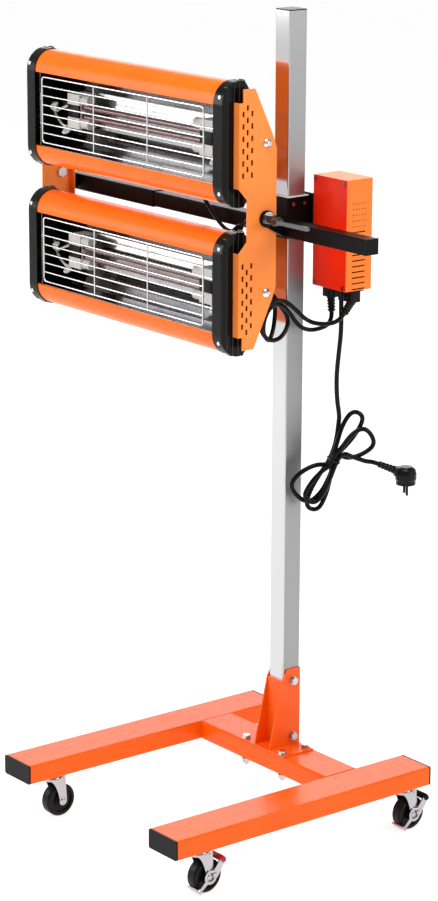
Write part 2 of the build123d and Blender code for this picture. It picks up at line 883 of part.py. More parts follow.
def yoke_outline(x0, x1):
    """A flat bracket from the tilt axis down to the front of the arm."""
    front = arm_front
    if x1 < arm_sleeve_end:
        front -= arm_sleeve_wall
    radius = yoke_width / 2
    low = arm_z - arm_height / 2
    points = [
        (pivot_y, pivot_z + radius),
        (front, arm_z + arm_height / 2),
        (front, low),
        (pivot_y, pivot_z - radius),
    ]
    bracket = plate_yz(points, x0, x1)
    bracket += rod_x(x0, x1, pivot_y, pivot_z, yoke_width)
    return bracket


def make_yokes():
    """The two brackets, bored for the pivot bolts."""
    brackets = []
    for x0, x1 in (yoke_right, yoke_left):
        bracket = yoke_outline(x0, x1)
        bracket -= rod_x(x0 - overrun, x1 + overrun, pivot_y, pivot_z, pivot_bolt_diameter + fit)
        brackets.append(bracket)
    return group(brackets)


def plate_outline():
    """The side plate's outline as (y, z) points."""
    half = [
        (-plate_waist_front, plate_waist_half),
        (-plate_front, plate_chamfer_half),
        (-plate_front, plate_front_half),
        (-plate_tongue_front, plate_front_half),
        (-plate_tongue_front, plate_tongue_half),
        (-plate_tongue_rear, plate_tongue_half),
        (plate_slant_y, plate_slant_half),
        (plate_rear, plate_rear_half),
    ]
    points = half + [(y, -z) for y, z in reversed(half)]
    return [(pivot_y + y, pivot_z + z) for y, z in points]


def make_side_plate(outside, inward):
    """One side plate of the head with its bent flanges, vents and bolt holes."""
    inside = outside + inward * plate_gauge
    x0, x1 = sorted((outside, inside))
    plate = plate_yz(plate_outline(), x0, x1)
    f0, f1 = sorted((outside, inside + inward * plate_flange))
    front = pivot_y - plate_front
    rear = pivot_y + plate_rear
    for side in (-1, 1):
        z0, z1 = sorted((pivot_z + side * plate_chamfer_half, pivot_z + side * plate_front_half))
        plate += block(f0, f1, front, front + plate_gauge, z0, z1)
    plate += block(f0, f1, rear - plate_gauge, rear, pivot_z - plate_rear_half, pivot_z + plate_rear_half)
    c0, c1 = x0 - overrun, x1 + overrun
    for y, first in vent_columns:
        for i in range(vent_count):
            for side in (-1, 1):
                z = pivot_z + side * (first + vent_pitch * i)
                slot = block(
                    c0,
                    c1,
                    pivot_y + y - vent_width / 2,
                    pivot_y + y + vent_width / 2,
                    z - vent_height / 2,
                    z + vent_height / 2,
                )
                plate -= slot
    for z in cassette_z:
        plate -= rod_x(c0, c1, pivot_y + cassette_bolt_y, z, m8_hole)
    return plate - rod_x(c0, c1, pivot_y, pivot_z, pivot_bolt_diameter + fit)


def make_pivot_bolts():
    """The bolts on the tilt axis: a clamp stud on the right, a bolt on the left."""
    right_in = plate_right_x - plate_gauge
    washer_out = yoke_right[1] + fit + pivot_washer_gauge
    stud = rod_x(right_in - pivot_head_height, right_in, pivot_y, pivot_z, pivot_head_diameter)
    stud += rod_x(right_in, washer_out, pivot_y, pivot_z, pivot_bolt_diameter)
    stud += rod_x(washer_out, clamp_stud_end - lever_eye_diameter / 2, pivot_y, pivot_z, clamp_stud_diameter)
    eye = rod_y(
        pivot_y - clamp_eye_thickness / 2,
        pivot_y + clamp_eye_thickness / 2,
        clamp_stud_end,
        pivot_z,
        lever_eye_diameter,
    )
    eye += block(
        clamp_stud_end - lever_eye_diameter / 2 - overrun,
        clamp_stud_end,
        pivot_y - clamp_eye_thickness / 2,
        pivot_y + clamp_eye_thickness / 2,
        pivot_z - lever_eye_diameter / 3,
        pivot_z + lever_eye_diameter / 3,
    )
    pin_end = pivot_y - clamp_eye_thickness / 2 - lever_thickness - 2 * fit
    stud += eye
    stud += rod_y(pin_end, pivot_y, clamp_stud_end, pivot_z, lever_pin_diameter)
    stud += rod_y(pin_end - lever_pin_head_gauge, pin_end, clamp_stud_end, pivot_z, lever_pin_head_diameter)
    left_in = plate_left_x + plate_gauge
    bolt = hex_x(left_in, left_in + pivot_head_height, pivot_y, pivot_z, pivot_head_diameter)
    bolt += rod_x(yoke_left[0] - pivot_washer_gauge - m8_nut, left_in, pivot_y, pivot_z, pivot_bolt_diameter)
    return group([stud, bolt])


def make_pivot_washers():
    """A washer outside each yoke bracket, and the nut on the left."""
    x0 = yoke_right[1] + fit / 2
    bore = pivot_bolt_diameter + fit
    right = rod_x(x0, x0 + pivot_washer_gauge, pivot_y, pivot_z, pivot_washer_diameter)
    right -= rod_x(x0 - overrun, x0 + pivot_washer_gauge + overrun, pivot_y, pivot_z, bore)
    x1 = yoke_left[0] - fit / 2
    left = rod_x(x1 - pivot_washer_gauge, x1, pivot_y, pivot_z, pivot_washer_diameter)
    left -= rod_x(x1 - pivot_washer_gauge - overrun, x1 + overrun, pivot_y, pivot_z, bore)
    x2 = x1 - pivot_washer_gauge
    nut = hex_x(x2 - m8_nut, x2, pivot_y, pivot_z, pivot_head_diameter)
    nut -= rod_x(x2 - m8_nut - overrun, x2 + overrun, pivot_y, pivot_z, pivot_bolt_diameter)
    return group([right, left, nut])


def make_tilt_lever():
    """The flat clamp lever that turns on the stud's eye."""
    back = pivot_y - clamp_eye_thickness / 2 - fit
    front = back - lever_thickness
    outline = Pos(lever_length / 2, 0) * SlotCenterToCenter(lever_length, lever_width)
    outline += Circle(lever_eye_diameter / 2)
    outline -= Circle((lever_pin_diameter + fit) / 2)
    frame = Plane(origin=(clamp_stud_end, front, pivot_z), x_dir=(1, 0, 0), z_dir=(0, 1, 0))
    return extrude(frame * outline, lever_thickness, dir=(0, 1, 0))


def cassette_outline(inset):
    """The cassette's section as a closed face in (y, z), shrunk by an inset."""
    front = -cassette_front
    corner_y = front + cassette_corner
    flat = cassette_half - cassette_corner
    dip = math.radians(45)
    arc_y = corner_y - cassette_corner * math.cos(dip)
    arc_z = flat + cassette_corner * math.sin(dip)
    top = Line((front, -flat), (front, flat))
    upper = ThreePointArc((front, flat), (arc_y, arc_z), (corner_y, cassette_half))
    roof = Polyline(
        (corner_y, cassette_half),
        (-cassette_shoulder, cassette_half),
        (cassette_back, cassette_back_half),
        (cassette_back, -cassette_back_half),
        (-cassette_shoulder, -cassette_half),
        (corner_y, -cassette_half),
    )
    lower = ThreePointArc((corner_y, -cassette_half), (arc_y, -arc_z), (front, -flat))
    face = make_face(top.edges() + upper.edges() + roof.edges() + lower.edges())
    shoulders = [v for v in face.vertices() if abs(v.X + cassette_shoulder) < fit]
    face = fillet(shoulders, cassette_shoulder_round)
    backs = [v for v in face.vertices() if abs(v.X - cassette_back) < fit]
    face = fillet(backs, cassette_back_round)
    if inset:
        face = offset(face, amount=-inset, kind=Kind.INTERSECTION)
    return face


def stand_up(face, x, z):
    """Put a (y, z) face upright at x, round the pivot's y and a cassette's height."""
    upright = Plane(origin=(x, pivot_y, z), x_dir=(0, 1, 0), z_dir=(1, 0, 0))
    return upright * face


def make_cassette_housing(z):
    """The folded orange shell between the two end caps, open in front."""
    half = cassette_end - cap_width + cap_overlap
    inset = cap_wall + fit
    section = cassette_outline(inset) - cassette_outline(inset + housing_wall)
    front = -cassette_front + inset
    section -= Pos(front, 0) * Rectangle(4 * housing_wall, 2 * window_half)
    lip_top = window_half + housing_wall
    for side in (-1, 1):
        middle = side * (window_half + lip_top) / 2
        section += Pos(front + lip_depth / 2, middle) * Rectangle(lip_depth, housing_wall)
    shell = extrude(stand_up(section, head_x - half, z), 2 * half, dir=(1, 0, 0))
    for origin, direction in link_gland_ends():
        if abs(origin[2] - z) < cassette_half:
            r = link_gland_diameter / 2
            shell -= turned([(0, -overrun), (r, -overrun), (r, 0), (0, 0)], origin, direction)
    return shell


def make_end_cap(z, side):
    """A moulded cap over one end of a cassette."""
    end = head_x + side * cassette_end
    inner = end - side * cap_width
    start = min(end, inner)
    outer = extrude(stand_up(cassette_outline(0), start, z), cap_width, dir=(1, 0, 0))
    hollow_start = start if side > 0 else start + cap_end_wall
    hollow = cassette_outline(cap_wall)
    cap = outer - extrude(stand_up(hollow, hollow_start, z), cap_width - cap_end_wall, dir=(1, 0, 0))
    for screw_x, screw_z in cap_screw_places(z, side):
        seat = cap_screw_seat()
        cap -= rod_y(pivot_y - cassette_front - overrun, seat, screw_x, screw_z, cap_screw_head + 2 * fit)
        cap -= rod_y(seat - overrun, seat + 3 * cap_wall, screw_x, screw_z, cap_screw_shank + fit)
    x0, x1 = sorted((end + side * overrun, end - side * (cap_end_wall + overrun)))
    return cap - rod_x(x0, x1, pivot_y + cassette_bolt_y, z, m8_hole)


def cap_screw_seat():
    """Depth of the flat that each cap screw's head sits on."""
    rise = cap_screw_z - (cassette_half - cassette_corner)
    sag = cassette_corner - math.sqrt(cassette_corner**2 - rise**2)
    return pivot_y - cassette_front + sag + cap_wall / 4


def cap_screw_places(z, side):
    """The two screws in the front of a cap, as (x, z)."""
    x = head_x + side * (cassette_end - cap_screw_inset)
    return ((x, z - cap_screw_z), (x, z + cap_screw_z))


def make_cap_screws():
    """Screws that hold the end caps."""
    screws = []
    seat = cap_screw_seat()
    for z in cassette_z:
        for side in (-1, 1):
            for x, sz in cap_screw_places(z, side):
                head = rod_y(seat - cap_screw_head_height, seat, x, sz, cap_screw_head)
                screws.append(head + rod_y(seat, seat + cap_screw_length, x, sz, cap_screw_shank))
    return group(screws)


def make_cassette_bolts():
    """Cap bolts that hold the cassettes between the side plates, with nuts."""
    solids = []
    y = pivot_y + cassette_bolt_y
    for outside, side in ((plate_right_x, 1), (plate_left_x, -1)):
        wall_in = head_x + side * (cassette_end - cap_end_wall)
        end = wall_in - side * (m8_nut + m8_spare_thread)
        for z in cassette_z:
            profile = [
                (0, dome_height),
                *((dome_diameter * r, dome_height * h) for r, h in dome_shares),
                (dome_diameter / 2, dome_height / 4),
                (dome_diameter / 2, 0),
                (0, 0),
            ]
            bolt = turned(profile, (outside, y, z), (side, 0, 0))
            bolt += rod_x(min(outside, end), max(outside, end), y, z, m8_shank)
            solids.append(bolt)
            n0, n1 = sorted((wall_in, wall_in - side * m8_nut))
            solids.append(hex_x(n0, n1, y, z, m8_flats) - rod_x(n0, n1, y, z, m8_shank))
    return group(solids)


def make_cassette_spacers():
    """Tubes that hold the cassettes off the side plates."""
    spacers = []
    y = pivot_y + cassette_bolt_y
    for inside, side in ((plate_right_x - plate_gauge, 1), (plate_left_x + plate_gauge, -1)):
        x0, x1 = sorted((inside, head_x + side * cassette_end))
        for z in cassette_z:
            spacers.append(rod_x(x0, x1, y, z, m8_washer) - rod_x(x0, x1, y, z, m8_hole))
    return group(spacers)


def make_reflector(z):
    """The polished trough behind the lamps."""
    half = cassette_end - cap_width - reflector_end_gap
    outer = list(reflector_profile) + [(reflector_ridge, 0)]
    outer += [(y, -h) for y, h in reversed(reflector_profile)]
    inner = []
    for i, (y, h) in enumerate(outer):
        a = outer[max(i - 1, 0)]
        b = outer[min(i + 1, len(outer) - 1)]
        dy, dh = b[0] - a[0], b[1] - a[1]
        length = math.hypot(dy, dh)
        inner.append((y - reflector_gauge * -dh / length, h - reflector_gauge * dy / length))
    loop = [(pivot_y + y, z + h) for y, h in outer + inner[::-1]]
    return plate_yz(loop, head_x - half, head_x + half)


def quartz_places():
    """Height of each tube from its cassette's middle."""
    return (-quartz_spread / 2, quartz_spread / 2)


def make_quartz_tubes():
    """Four hollow quartz lamps."""
    tubes = []
    half = cassette_end - quartz_end_inset
    y = pivot_y + quartz_y
    for z in cassette_z:
        for dz in quartz_places():
            tube = rod_x(head_x - half, head_x + half, y, z + dz, quartz_diameter)
            tubes.append(tube - rod_x(head_x - half, head_x + half, y, z + dz, quartz_bore))
    return group(tubes)


def holder_back(height):
    """Depth of the holders' backs, just clear of the reflector's ridged back."""
    deep, edge = reflector_profile[-1]
    slope = (deep - reflector_ridge) / edge
    sheet = reflector_gauge * math.hypot(1, slope)
    return reflector_ridge + slope * abs(height) - sheet - 2 * fit


def make_tube_holders():
    """Ceramic blocks that carry both tubes' ends on the reflector."""
    holders = []
    half = cassette_end - quartz_end_inset
    places = ((holder_front, -holder_half), (holder_front, holder_half))
    places += tuple((holder_back(h), h) for h in (holder_half, 0, -holder_half))
    for z in cassette_z:
        for side in (-1, 1):
            inner = head_x + side * (half - holder_overlap)
            x0, x1 = sorted((inner, inner + side * holder_length))
            body = plate_yz([(pivot_y + y, z + h) for y, h in places], x0, x1)
            y0 = pivot_y + holder_front - overrun
            y1 = pivot_y + holder_front + holder_slot_depth
            slot = holder_slot / 2
            body -= block(x0 - overrun, x1 + overrun, y0, y1, z - slot, z + slot)
            y = pivot_y + quartz_y
            c0, c1 = sorted((inner + side * overrun, inner - side * collar_length))
            for sign in (-1, 1):
                body += rod_x(c0, c1, y, z + sign * collar_spread / 2, collar_diameter)
            s0, s1 = sorted((inner - side * (collar_length + overrun), head_x + side * (half + fit)))
            for dz in quartz_places():
                body -= rod_x(s0, s1, y, z + dz, quartz_diameter + fit)
            holders.append(body)
    return group(holders)


def make_grille(z):
    """A rounded wire frame with welded wires; two of its rows run on into the caps."""
    end = cassette_end - cap_end_wall - fit
    y = pivot_y + grille_y
    middle = head_x + grille_offset
    half = cassette_end - grille_end_inset
    rise = grille_row_pitch * (grille_rows - 1) / 2
    long_half, short_half = half - grille_corner, rise - grille_corner
    grille = rod_x(middle - long_half, middle + long_half, y, z - rise, grille_wire)
    grille += rod_x(middle - long_half, middle + long_half, y, z + rise, grille_wire)
    for side in (-1, 1):
        x = middle + side * half
        grille += rod_z(z - short_half, z + short_half, x, y, grille_wire)
        for top in (-1, 1):
            centre = (middle + side * long_half, y, z + top * short_half)
            section = Plane(origin=(x, y, centre[2]), z_dir=(0, 0, 1)) * Circle(grille_wire / 2)
            grille += revolve(section, Axis(centre, (0, -side * top, 0)), 90)
    for i in range(1, grille_cross_count - 1):
        x = middle - half + i * 2 * half / (grille_cross_count - 1)
        grille += rod_z(z - rise, z + rise, x, y, grille_cross_wire)
    for i in range(1, grille_rows - 1):
        through = i in grille_through_rows
        x0, x1 = (head_x - end, head_x + end) if through else (middle - half, middle + half)
        row_y = y + grille_wire * grille_sink_share
        grille += rod_x(x0, x1, row_y, z - rise + i * grille_row_pitch, grille_wire)
    return grille


def ribbed_boot(origin, direction, length, root, tip):
    """A tapered strain relief with raised rings, solid round its lead's end."""
    profile = [(0, 0)]
    rings = 2 * boot_rib_count + 1
    step = length / rings
    for i in range(rings):
        start = i * step
        radius = root / 2 + (tip / 2 - root / 2) * (start / length)
        if i % 2:
            radius -= boot_rib_depth
        profile.append((radius, start))
        profile.append((radius, start + step))
    profile.append((0, length))
    return turned(profile, origin, direction)


def unit(vector):
    length = math.sqrt(sum(c * c for c in vector))
    return tuple(c / length for c in vector)


def along(origin, direction, distance):
    return tuple(o + d * distance for o, d in zip(origin, direction))


boot_lean = math.radians(lead_boot_slope)
boot_direction = (0, math.cos(boot_lean), -math.sin(boot_lean))


def lead_boot_origin(x):
    """Where a boot leaves the back of the lower cassette."""
    return (x, pivot_y + cassette_back, cassette_z[1] + lead_boot_z)


def slant_normal():
    """Direction out of the slanted back of a cassette, as (y, z)."""
    run = cassette_back + cassette_shoulder
    fall = cassette_half - cassette_back_half
    length = math.hypot(run, fall)
    return (fall / length, run / length)


def slant_point(y_rel):
    """Height of the slanted back over a cassette's middle at a given y."""
    run = cassette_back + cassette_shoulder
    fall = cassette_half - cassette_back_half
    return cassette_half - (y_rel + cassette_shoulder) * fall / run


def link_gland_ends():
    """Origin and direction of the two glands of the link lead."""
    ny, nz = slant_normal()
    rise = slant_point(link_gland_y)
    ends = []
    for z, sign, x in ((cassette_z[0], -1, link_gland_x[0]), (cassette_z[1], 1, link_gland_x[1])):
        direction = (0, ny, sign * nz)
        inset = cap_wall + fit
        surface = (x, pivot_y + link_gland_y, z + sign * rise)
        ends.append((along(surface, direction, -inset), direction))
    return ends


def make_lead_boots():
    """Boots of the two lamp leads and the two glands of the link lead."""
    solids = []
    face = pivot_y + cassette_back
    for inset in lead_boot_insets:
        x = head_x + cassette_end - inset
        origin = along(lead_boot_origin(x), boot_direction, -boot_buried)
        length = boot_length + boot_buried
        boot = ribbed_boot(origin, boot_direction, length, boot_root_diameter, boot_tip_diameter)
        half = boot_root_diameter
        z = origin[2]
        solids.append(boot - block(x - half, x + half, face - 2 * half, face, z - 2 * half, z + 2 * half))
    for origin, direction in link_gland_ends():
        profile = [
            (0, 0),
            (link_gland_diameter / 2, 0),
            (link_gland_diameter / 2, link_gland_length * gland_flange_share),
            (link_gland_diameter * gland_neck_share, link_gland_length * gland_flange_share),
            (link_gland_diameter * gland_neck_share, link_gland_length * gland_nut_share),
            (link_gland_diameter / 2, link_gland_length * gland_nut_share),
            (link_gland_diameter / 2, link_gland_length * gland_dome_share),
            (link_gland_diameter * gland_neck_share, link_gland_length),
            (0, link_gland_length),
        ]
        solids.append(turned(profile, origin, direction))
    return group(solids)


def make_box_shell():
    """The folded box: back, sides, top and bottom, with vents on the right."""
    x1 = box_left + box_width
    y1 = box_front + box_depth
    shell = block(box_left, x1, box_front + box_gauge, y1, box_bottom, box_top)
    g = box_gauge
    shell -= block(box_left + g, x1 - g, box_front, y1 - g, box_bottom + g, box_top - g)
    middle = box_y
    for row in range(vent_rows_dotted + vent_rows_slotted):
        z = box_top - vent_row_first - row * vent_row_pitch
        if row < vent_rows_dotted:
            for i in range(vent_dots):
                y = middle + (i / (vent_dots - 1) - 0.5) * (vent_slot_length - vent_dot_diameter)
                shell -= rod_x(x1 - g - overrun, x1 + overrun, y, z, vent_dot_diameter)
        else:
            y0 = middle - vent_slot_length / 2
            z0 = z - vent_slot_height / 2
            end_y, end_z = y0 + vent_slot_length, z0 + vent_slot_height
            shell -= block(x1 - g - overrun, x1 + overrun, y0, end_y, z0, end_z)
    for x in socket_places():
        half_w = socket_width / 2 + fit
        half_d = socket_depth / 2 + fit
        z0, z1 = box_bottom - overrun, box_bottom + g + overrun
        shell -= block(x - half_w, x + half_w, box_y - half_d, box_y + half_d, z0, z1)
    hole = gland_tip_diameter + fit
    return shell - rod_z(box_bottom - overrun, box_bottom + g + overrun, box_x, box_y, hole)


def socket_places():
    """Where the two lamp sockets sit under the box."""
    return (box_x - socket_spread / 2, box_x + socket_spread / 2)


def cover_screw_places():
    """The four corner screws of the cover, as (x, z)."""
    i = cover_screw_inset
    spots = []
    for x in (box_left + i, box_left + box_width - i):
        for z in (box_bottom + i, box_top - i):
            spots.append((x, z))
    return spots


def make_box_cover():
    """The front cover with a return flange inside the shell."""
    x1 = box_left + box_width
    cover = block(box_left, x1, box_front, box_front + box_gauge, box_bottom, box_top)
    inset = box_gauge + fit
    y0 = box_front + box_gauge
    z0, z1 = box_bottom + inset, box_top - inset
    outer = block(box_left + inset, x1 - inset, y0, y0 + box_cover_return, z0, z1)
    wall = inset + box_gauge
    outer -= block(box_left + wall, x1 - wall, y0, y0 + box_cover_return, box_bottom + wall, box_top - wall)
    cover += outer
    for x, z in cover_screw_places():
        cover -= rod_y(box_front - overrun, box_front + box_cover_return + overrun, x, z, m4_shank + fit)
    return cover


def make_m4_screws():
    """Small screws of the cover and of the sleeve's liner."""
    screws = []
    for x, z in cover_screw_places():
        head = rod_y(box_front - m4_head_height, box_front, x, z, m4_head)
        screws.append(head + rod_y(box_front, box_front + m4_length, x, z, m4_shank))
    for y, z in sleeve_screw_places():
        head = rod_x(sleeve_half, sleeve_half + m4_head_height, y, z, m4_head)
        screws.append(head + rod_x(post_half + 4 * liner_gap, sleeve_half, y, z, m4_shank - fit))
    return group(screws)


def make_terminal_block():
    """The terminal block and switch gear on the back wall of the box."""
    back = box_front + box_depth - box_gauge
    z = box_bottom + box_height / 2
    base = block(
        box_x - terminal_width / 2,
        box_x + terminal_width / 2,
        back - terminal_depth,
        back,
        z - terminal_height / 2,
        z + terminal_height / 2,
    )
    groove = terminal_depth / 3
    for i in range(5):
        x = box_x + (i - 2) * terminal_width / 6
        base -= rod_y(back - terminal_depth - overrun, back - terminal_depth + groove, x, z, m4_shank)
    return base


def make_lamp_sockets():
    """Two panel sockets let into the bottom of the box."""
    sockets = []
    for x in socket_places():
        half_w = socket_width / 2
        half_d = socket_depth / 2
        top = box_bottom + socket_height
        body = block(x - half_w, x + half_w, box_y - half_d, box_y + half_d, box_bottom, top)
        rim = block(
            x - half_w - socket_flange / 2,
            x + half_w + socket_flange / 2,
            box_y - half_d - socket_flange,
            box_y + half_d + socket_flange,
            box_bottom - socket_flange,
            box_bottom,
        )
        sockets.append(body + rim)
    return group(sockets)


def plug_bottom():
    return box_bottom - socket_flange - plug_neck_height


plug_lean = ((0.2, -0.1), (-0.52, -0.28))


def plug_direction(i):
    """Way that a lamp plug's boot points."""
    return unit((*plug_lean[i], -1))


def make_lamp_plugs():
    """The two plugs of the lamp leads, with ribbed boots."""
    plugs = []
    for i, x in enumerate(socket_places()):
        half_w = plug_width / 2
        half_d = plug_depth / 2
        top = box_bottom - socket_flange
        body = block(x - half_w, x + half_w, box_y - half_d, box_y + half_d, plug_bottom(), top)
        body = fillet(body.edges().filter_by(Axis.Z), plug_depth / 4)
        buried = plug_neck_height / 4
        start = along((x, box_y, plug_bottom()), plug_direction(i), -buried)
        root = plug_boot_root_diameter
        boot = ribbed_boot(start, plug_direction(i), plug_boot_length + buried, root, boot_tip_diameter)
        plugs.append(body + boot)
    return group(plugs)


def make_mains_gland():
    """The strain relief of the mains lead under the box."""
    z0 = box_bottom
    profile = [
        (0, socket_height / 2),
        (0, -gland_length),
        (gland_tip_diameter / 2, -gland_length),
        (gland_diameter / 2, -gland_length / 4),
        (gland_diameter / 2, 0),
        (gland_tip_diameter / 2, 0),
        (gland_tip_diameter / 2, socket_height / 2),
    ]
    return turned(profile, (box_x, box_y, z0), (0, 0, 1))


# The hank of the mains lead hangs in an upright plane through the gland's axis.
# hank_heading is that plane's level direction; layers are stacked across it.
hank_heading = (0.45, 0.893)
hank_across = (0.893, -0.45)
hank_pitch = cord_diameter + 2 * cord_play
waist_s = -10.0
waist_z = 681.0
waist_lean = unit((0.42, 0, 0.91))
waist_half_length = 12.0


def hank_point(s, z, layer):
    """A point of the hank from its place in the plane and its layer."""
    w = hank_pitch * (layer - 2)
    x = box_x + hank_heading[0] * s + hank_across[0] * w
    y = box_y + hank_heading[1] * s + hank_across[1] * w
    return (x, y, z)


def lobe(angle, length, half_width, layer_in, layer_out, upper):
    """Control points of one loop of the hank, from the waist and back to it."""
    a = math.radians(angle)
    sign = 1 if upper else -1
    e = (sign * math.sin(a), sign * math.cos(a))
    left = (-e[1], e[0]) if upper else (e[1], -e[0])
    first = -1 if upper else 1
    points = []
    for along_share, width_share, side in lobe_shares:
        across = first * side * half_width * width_share
        s = waist_s + e[0] * length * along_share + left[0] * across
        z = waist_z + e[1] * length * along_share + left[1] * across
        last = along_share < lobe_climb_share and side < 0
        layer = layer_out if last else layer_in
        points.append(hank_point(s, z, layer))
    return points


# A loop's control points: share of its length, share of its half width, side.
lobe_shares = (
    (0.3, 0.62, 1),
    (0.66, 1.0, 1),
    (1.0, 0.82, 1),
    (1.0, 0.82, -1),
    (0.66, 1.0, -1),
    (0.3, 0.62, -1),
)
lobe_climb_share = 0.5


def waist_pass(side, layer, upward):
    """The cord's straight pass through the tie: side -1 is left, 1 is right."""
    half = side * hank_pitch / 2
    s = waist_s + half * waist_lean[2]
    z = waist_z - half * waist_lean[0]
    ends = []
    for end in (-1, 1):
        reach = end * waist_half_length
        ends.append(hank_point(s + reach * waist_lean[0], z + reach * waist_lean[2], layer))
    return ends if upward else ends[::-1]


# angle from the vertical, length, half width
lower_loops = ((22.0, 100.0, 16.0), (46.0, 92.0, 29.0), (33.0, 86.0, 16.0))
upper_loops = ((30.0, 96.0, 16.0), (58.0, 82.0, 23.0))

hank_start = (3.0, 744.0)
hank_second = (-0.5, 717.0)
hank_lead_layer_share = 0.25
hank_leave = (9.7, 694.6)
hank_turn = (22.0, 688.0)
hank_end = (36.5, 682.5)


def hank_route():
    """The whole hank as one route."""
    points = [hank_point(*hank_start, 0), hank_point(*hank_second, hank_lead_layer_share)]
    points += waist_pass(-1, 1, False)
    for i, size in enumerate(lower_loops):
        points += lobe(*size, i + 1, i + 1, False)
        points += waist_pass(1, i + 1, True)
        if i < len(upper_loops):
            points += lobe(*upper_loops[i], i + 1, i + 2, True)
            points += waist_pass(-1, i + 2, False)
    for place in (hank_leave, hank_turn, hank_end):
        points.append(hank_point(*place, 3))
    return points


upper_cord_steps = ((1.0, 920.0), (-2.0, 880.0), (-4.5, 835.0), (-1.5, 790.0))
upper_cord_layer_shares = (1.95, 1.6, 1.0, 0.35)
lower_cord_steps = ((61.0, 676.5),)
plug_entry = (73.0, 671.5)
cord_lead_in = 14.0


def make_mains_lead():
    """The mains lead: a hanging stretch, the tied hank and the stretch to the plug."""
    exit_z = box_bottom - gland_length
    first = [(box_x, box_y, exit_z), (box_x, box_y, exit_z - cord_lead_in)]
    for (s, z), layer in zip(upper_cord_steps, upper_cord_layer_shares):
        first.append(hank_point(s, z, layer))
    route = hank_route()
    entering = unit(tuple(b - a for a, b in zip(route[0], route[1])))
    first += [along(route[0], entering, -cord_lead_in), route[0]]
    tube, wire = cord_solid("mains_cord_upper", first, cord_diameter)
    keep("mains_cord_upper", tube, True)
    tube, wire = cord_solid("mains_hank", route, cord_diameter)
    gap = least_gap(wire, cord_diameter, hank_sample_count, hank_skip_count)
    print("mains_hank least gap to itself", round(gap, 2))
    keep("mains_hank", tube, True)
    leaving = unit(tuple(b - a for a, b in zip(route[-2], route[-1])))
    last = [route[-1], along(route[-1], leaving, cord_lead_in)]
    last += [hank_point(s, z, 3) for s, z in lower_cord_steps]
    last.append(hank_point(*plug_entry, 3))
    tube, wire = cord_solid("mains_cord_lower", last, cord_diameter)
    keep("mains_cord_lower", tube, True)
    return last


hank_sample_count = 700
hank_skip_count = 14


def make_cord_tie():
    """The wire tie round the waist of the hank."""
    inner_s = hank_pitch + cord_diameter + 2 * cord_play
    inner_w = 2 * hank_pitch + cord_diameter + 2 * cord_play
    frame = Plane(
        origin=hank_point(waist_s, waist_z, 2),
        x_dir=(hank_heading[0] * waist_lean[2], hank_heading[1] * waist_lean[2], -waist_lean[0]),
        z_dir=(hank_heading[0] * waist_lean[0], hank_heading[1] * waist_lean[0], waist_lean[2]),
    )
    corner = cord_diameter / 2
    outer = RectangleRounded(inner_s + 2 * tie_gauge, inner_w + 2 * tie_gauge, corner + tie_gauge)
    band = outer - RectangleRounded(inner_s, inner_w, corner)
    return frame * Pos(0, 0, -tie_width / 2) * extrude(band, tie_width)


# The plug's body over its face: shares of its radius and of its height.
plug_side_shares = ((0.55, 1.0), (0.9, 0.84), (1.0, 0.62), (1.0, 0.3))
plug_face_share = 0.24
plug_rise_share = 0.35


def make_mains_plug(last):
    """The angled plug: boot, round body and two pins that point down."""
    entry = Vector(*last[-1])
    direction = (entry - Vector(*last[-2])).normalized()
    level = Vector(direction.X, direction.Y, 0).normalized()
    boot_end = entry + direction * mains_boot_length
    centre = boot_end + level * (mains_plug_diameter / 2 - mains_boot_root_diameter / 4)
    boot = ribbed_boot(
        tuple(boot_end),
        tuple(-direction),
        mains_boot_length,
        mains_boot_root_diameter,
        mains_boot_tip_diameter,
    )
    top = centre.Z + mains_plug_height * plug_rise_share
    face = top - mains_plug_height - mains_plug_height / 2
    radius = mains_plug_diameter / 2
    profile = [(0, top - face)]
    profile += [(radius * r, (top - face) * h) for r, h in plug_side_shares]
    profile.append((mains_plug_face / 2, (top - face) * plug_face_share))
    profile += [(mains_plug_face / 2, 0), (0, 0)]
    body = turned(profile, (centre.X, centre.Y, face), (0, 0, 1))
    bridge = Pos(*boot_end) * Rot(0, 0, math.degrees(math.atan2(level.Y, level.X)))
    bridge *= Box(mains_boot_root_diameter, mains_boot_root_diameter, mains_boot_root_diameter)
    plug = body + bridge + boot
    pins = []
    across = Vector(-level.Y, level.X, 0)
    for side in (-1, 1):
        spot = centre + across * (side * mains_pin_spread / 2)
        plug += rod_z(face - mains_pin_length, face, spot.X, spot.Y, mains_pin_diameter)
        pins.append((spot.X, spot.Y, face))
    return plug, pins


# Routes of the two lamp leads from the boots on the lower cassette, round a
# loop beside the post and up into the plugs under the box.
lead_a_route = (
    (28.0, 427.0, 930.0),
    (31.5, 407.0, 910.5),
    (36.0, 377.0, 910.5),
    (38.0, 355.5, 932.0),
    (39.8, 355.5, 962.0),
    (41.5, 377.0, 984.0),
    (45.5, 403.0, 984.0),
    (46.0, 430.0, 963.0),
    (47.5, 448.0, 945.0),
    (58.0, 466.0, 934.0),
)
lead_b_route = (
    (15.5, 421.0, 932.0),
    (20.0, 404.0, 909.5),
    (25.0, 382.0, 908.5),
    (30.5, 366.5, 928.0),
    (35.3, 367.5, 957.0),
    (36.2, 382.0, 975.5),
    (36.8, 403.0, 975.5),
    (37.0, 423.0, 957.0),
    (37.5, 436.0, 938.0),
    (40.0, 452.0, 924.0),
    (46.0, 474.0, 919.5),
)
lead_exit_run = 22.0
lead_first_runs = (27.0, 35.4)


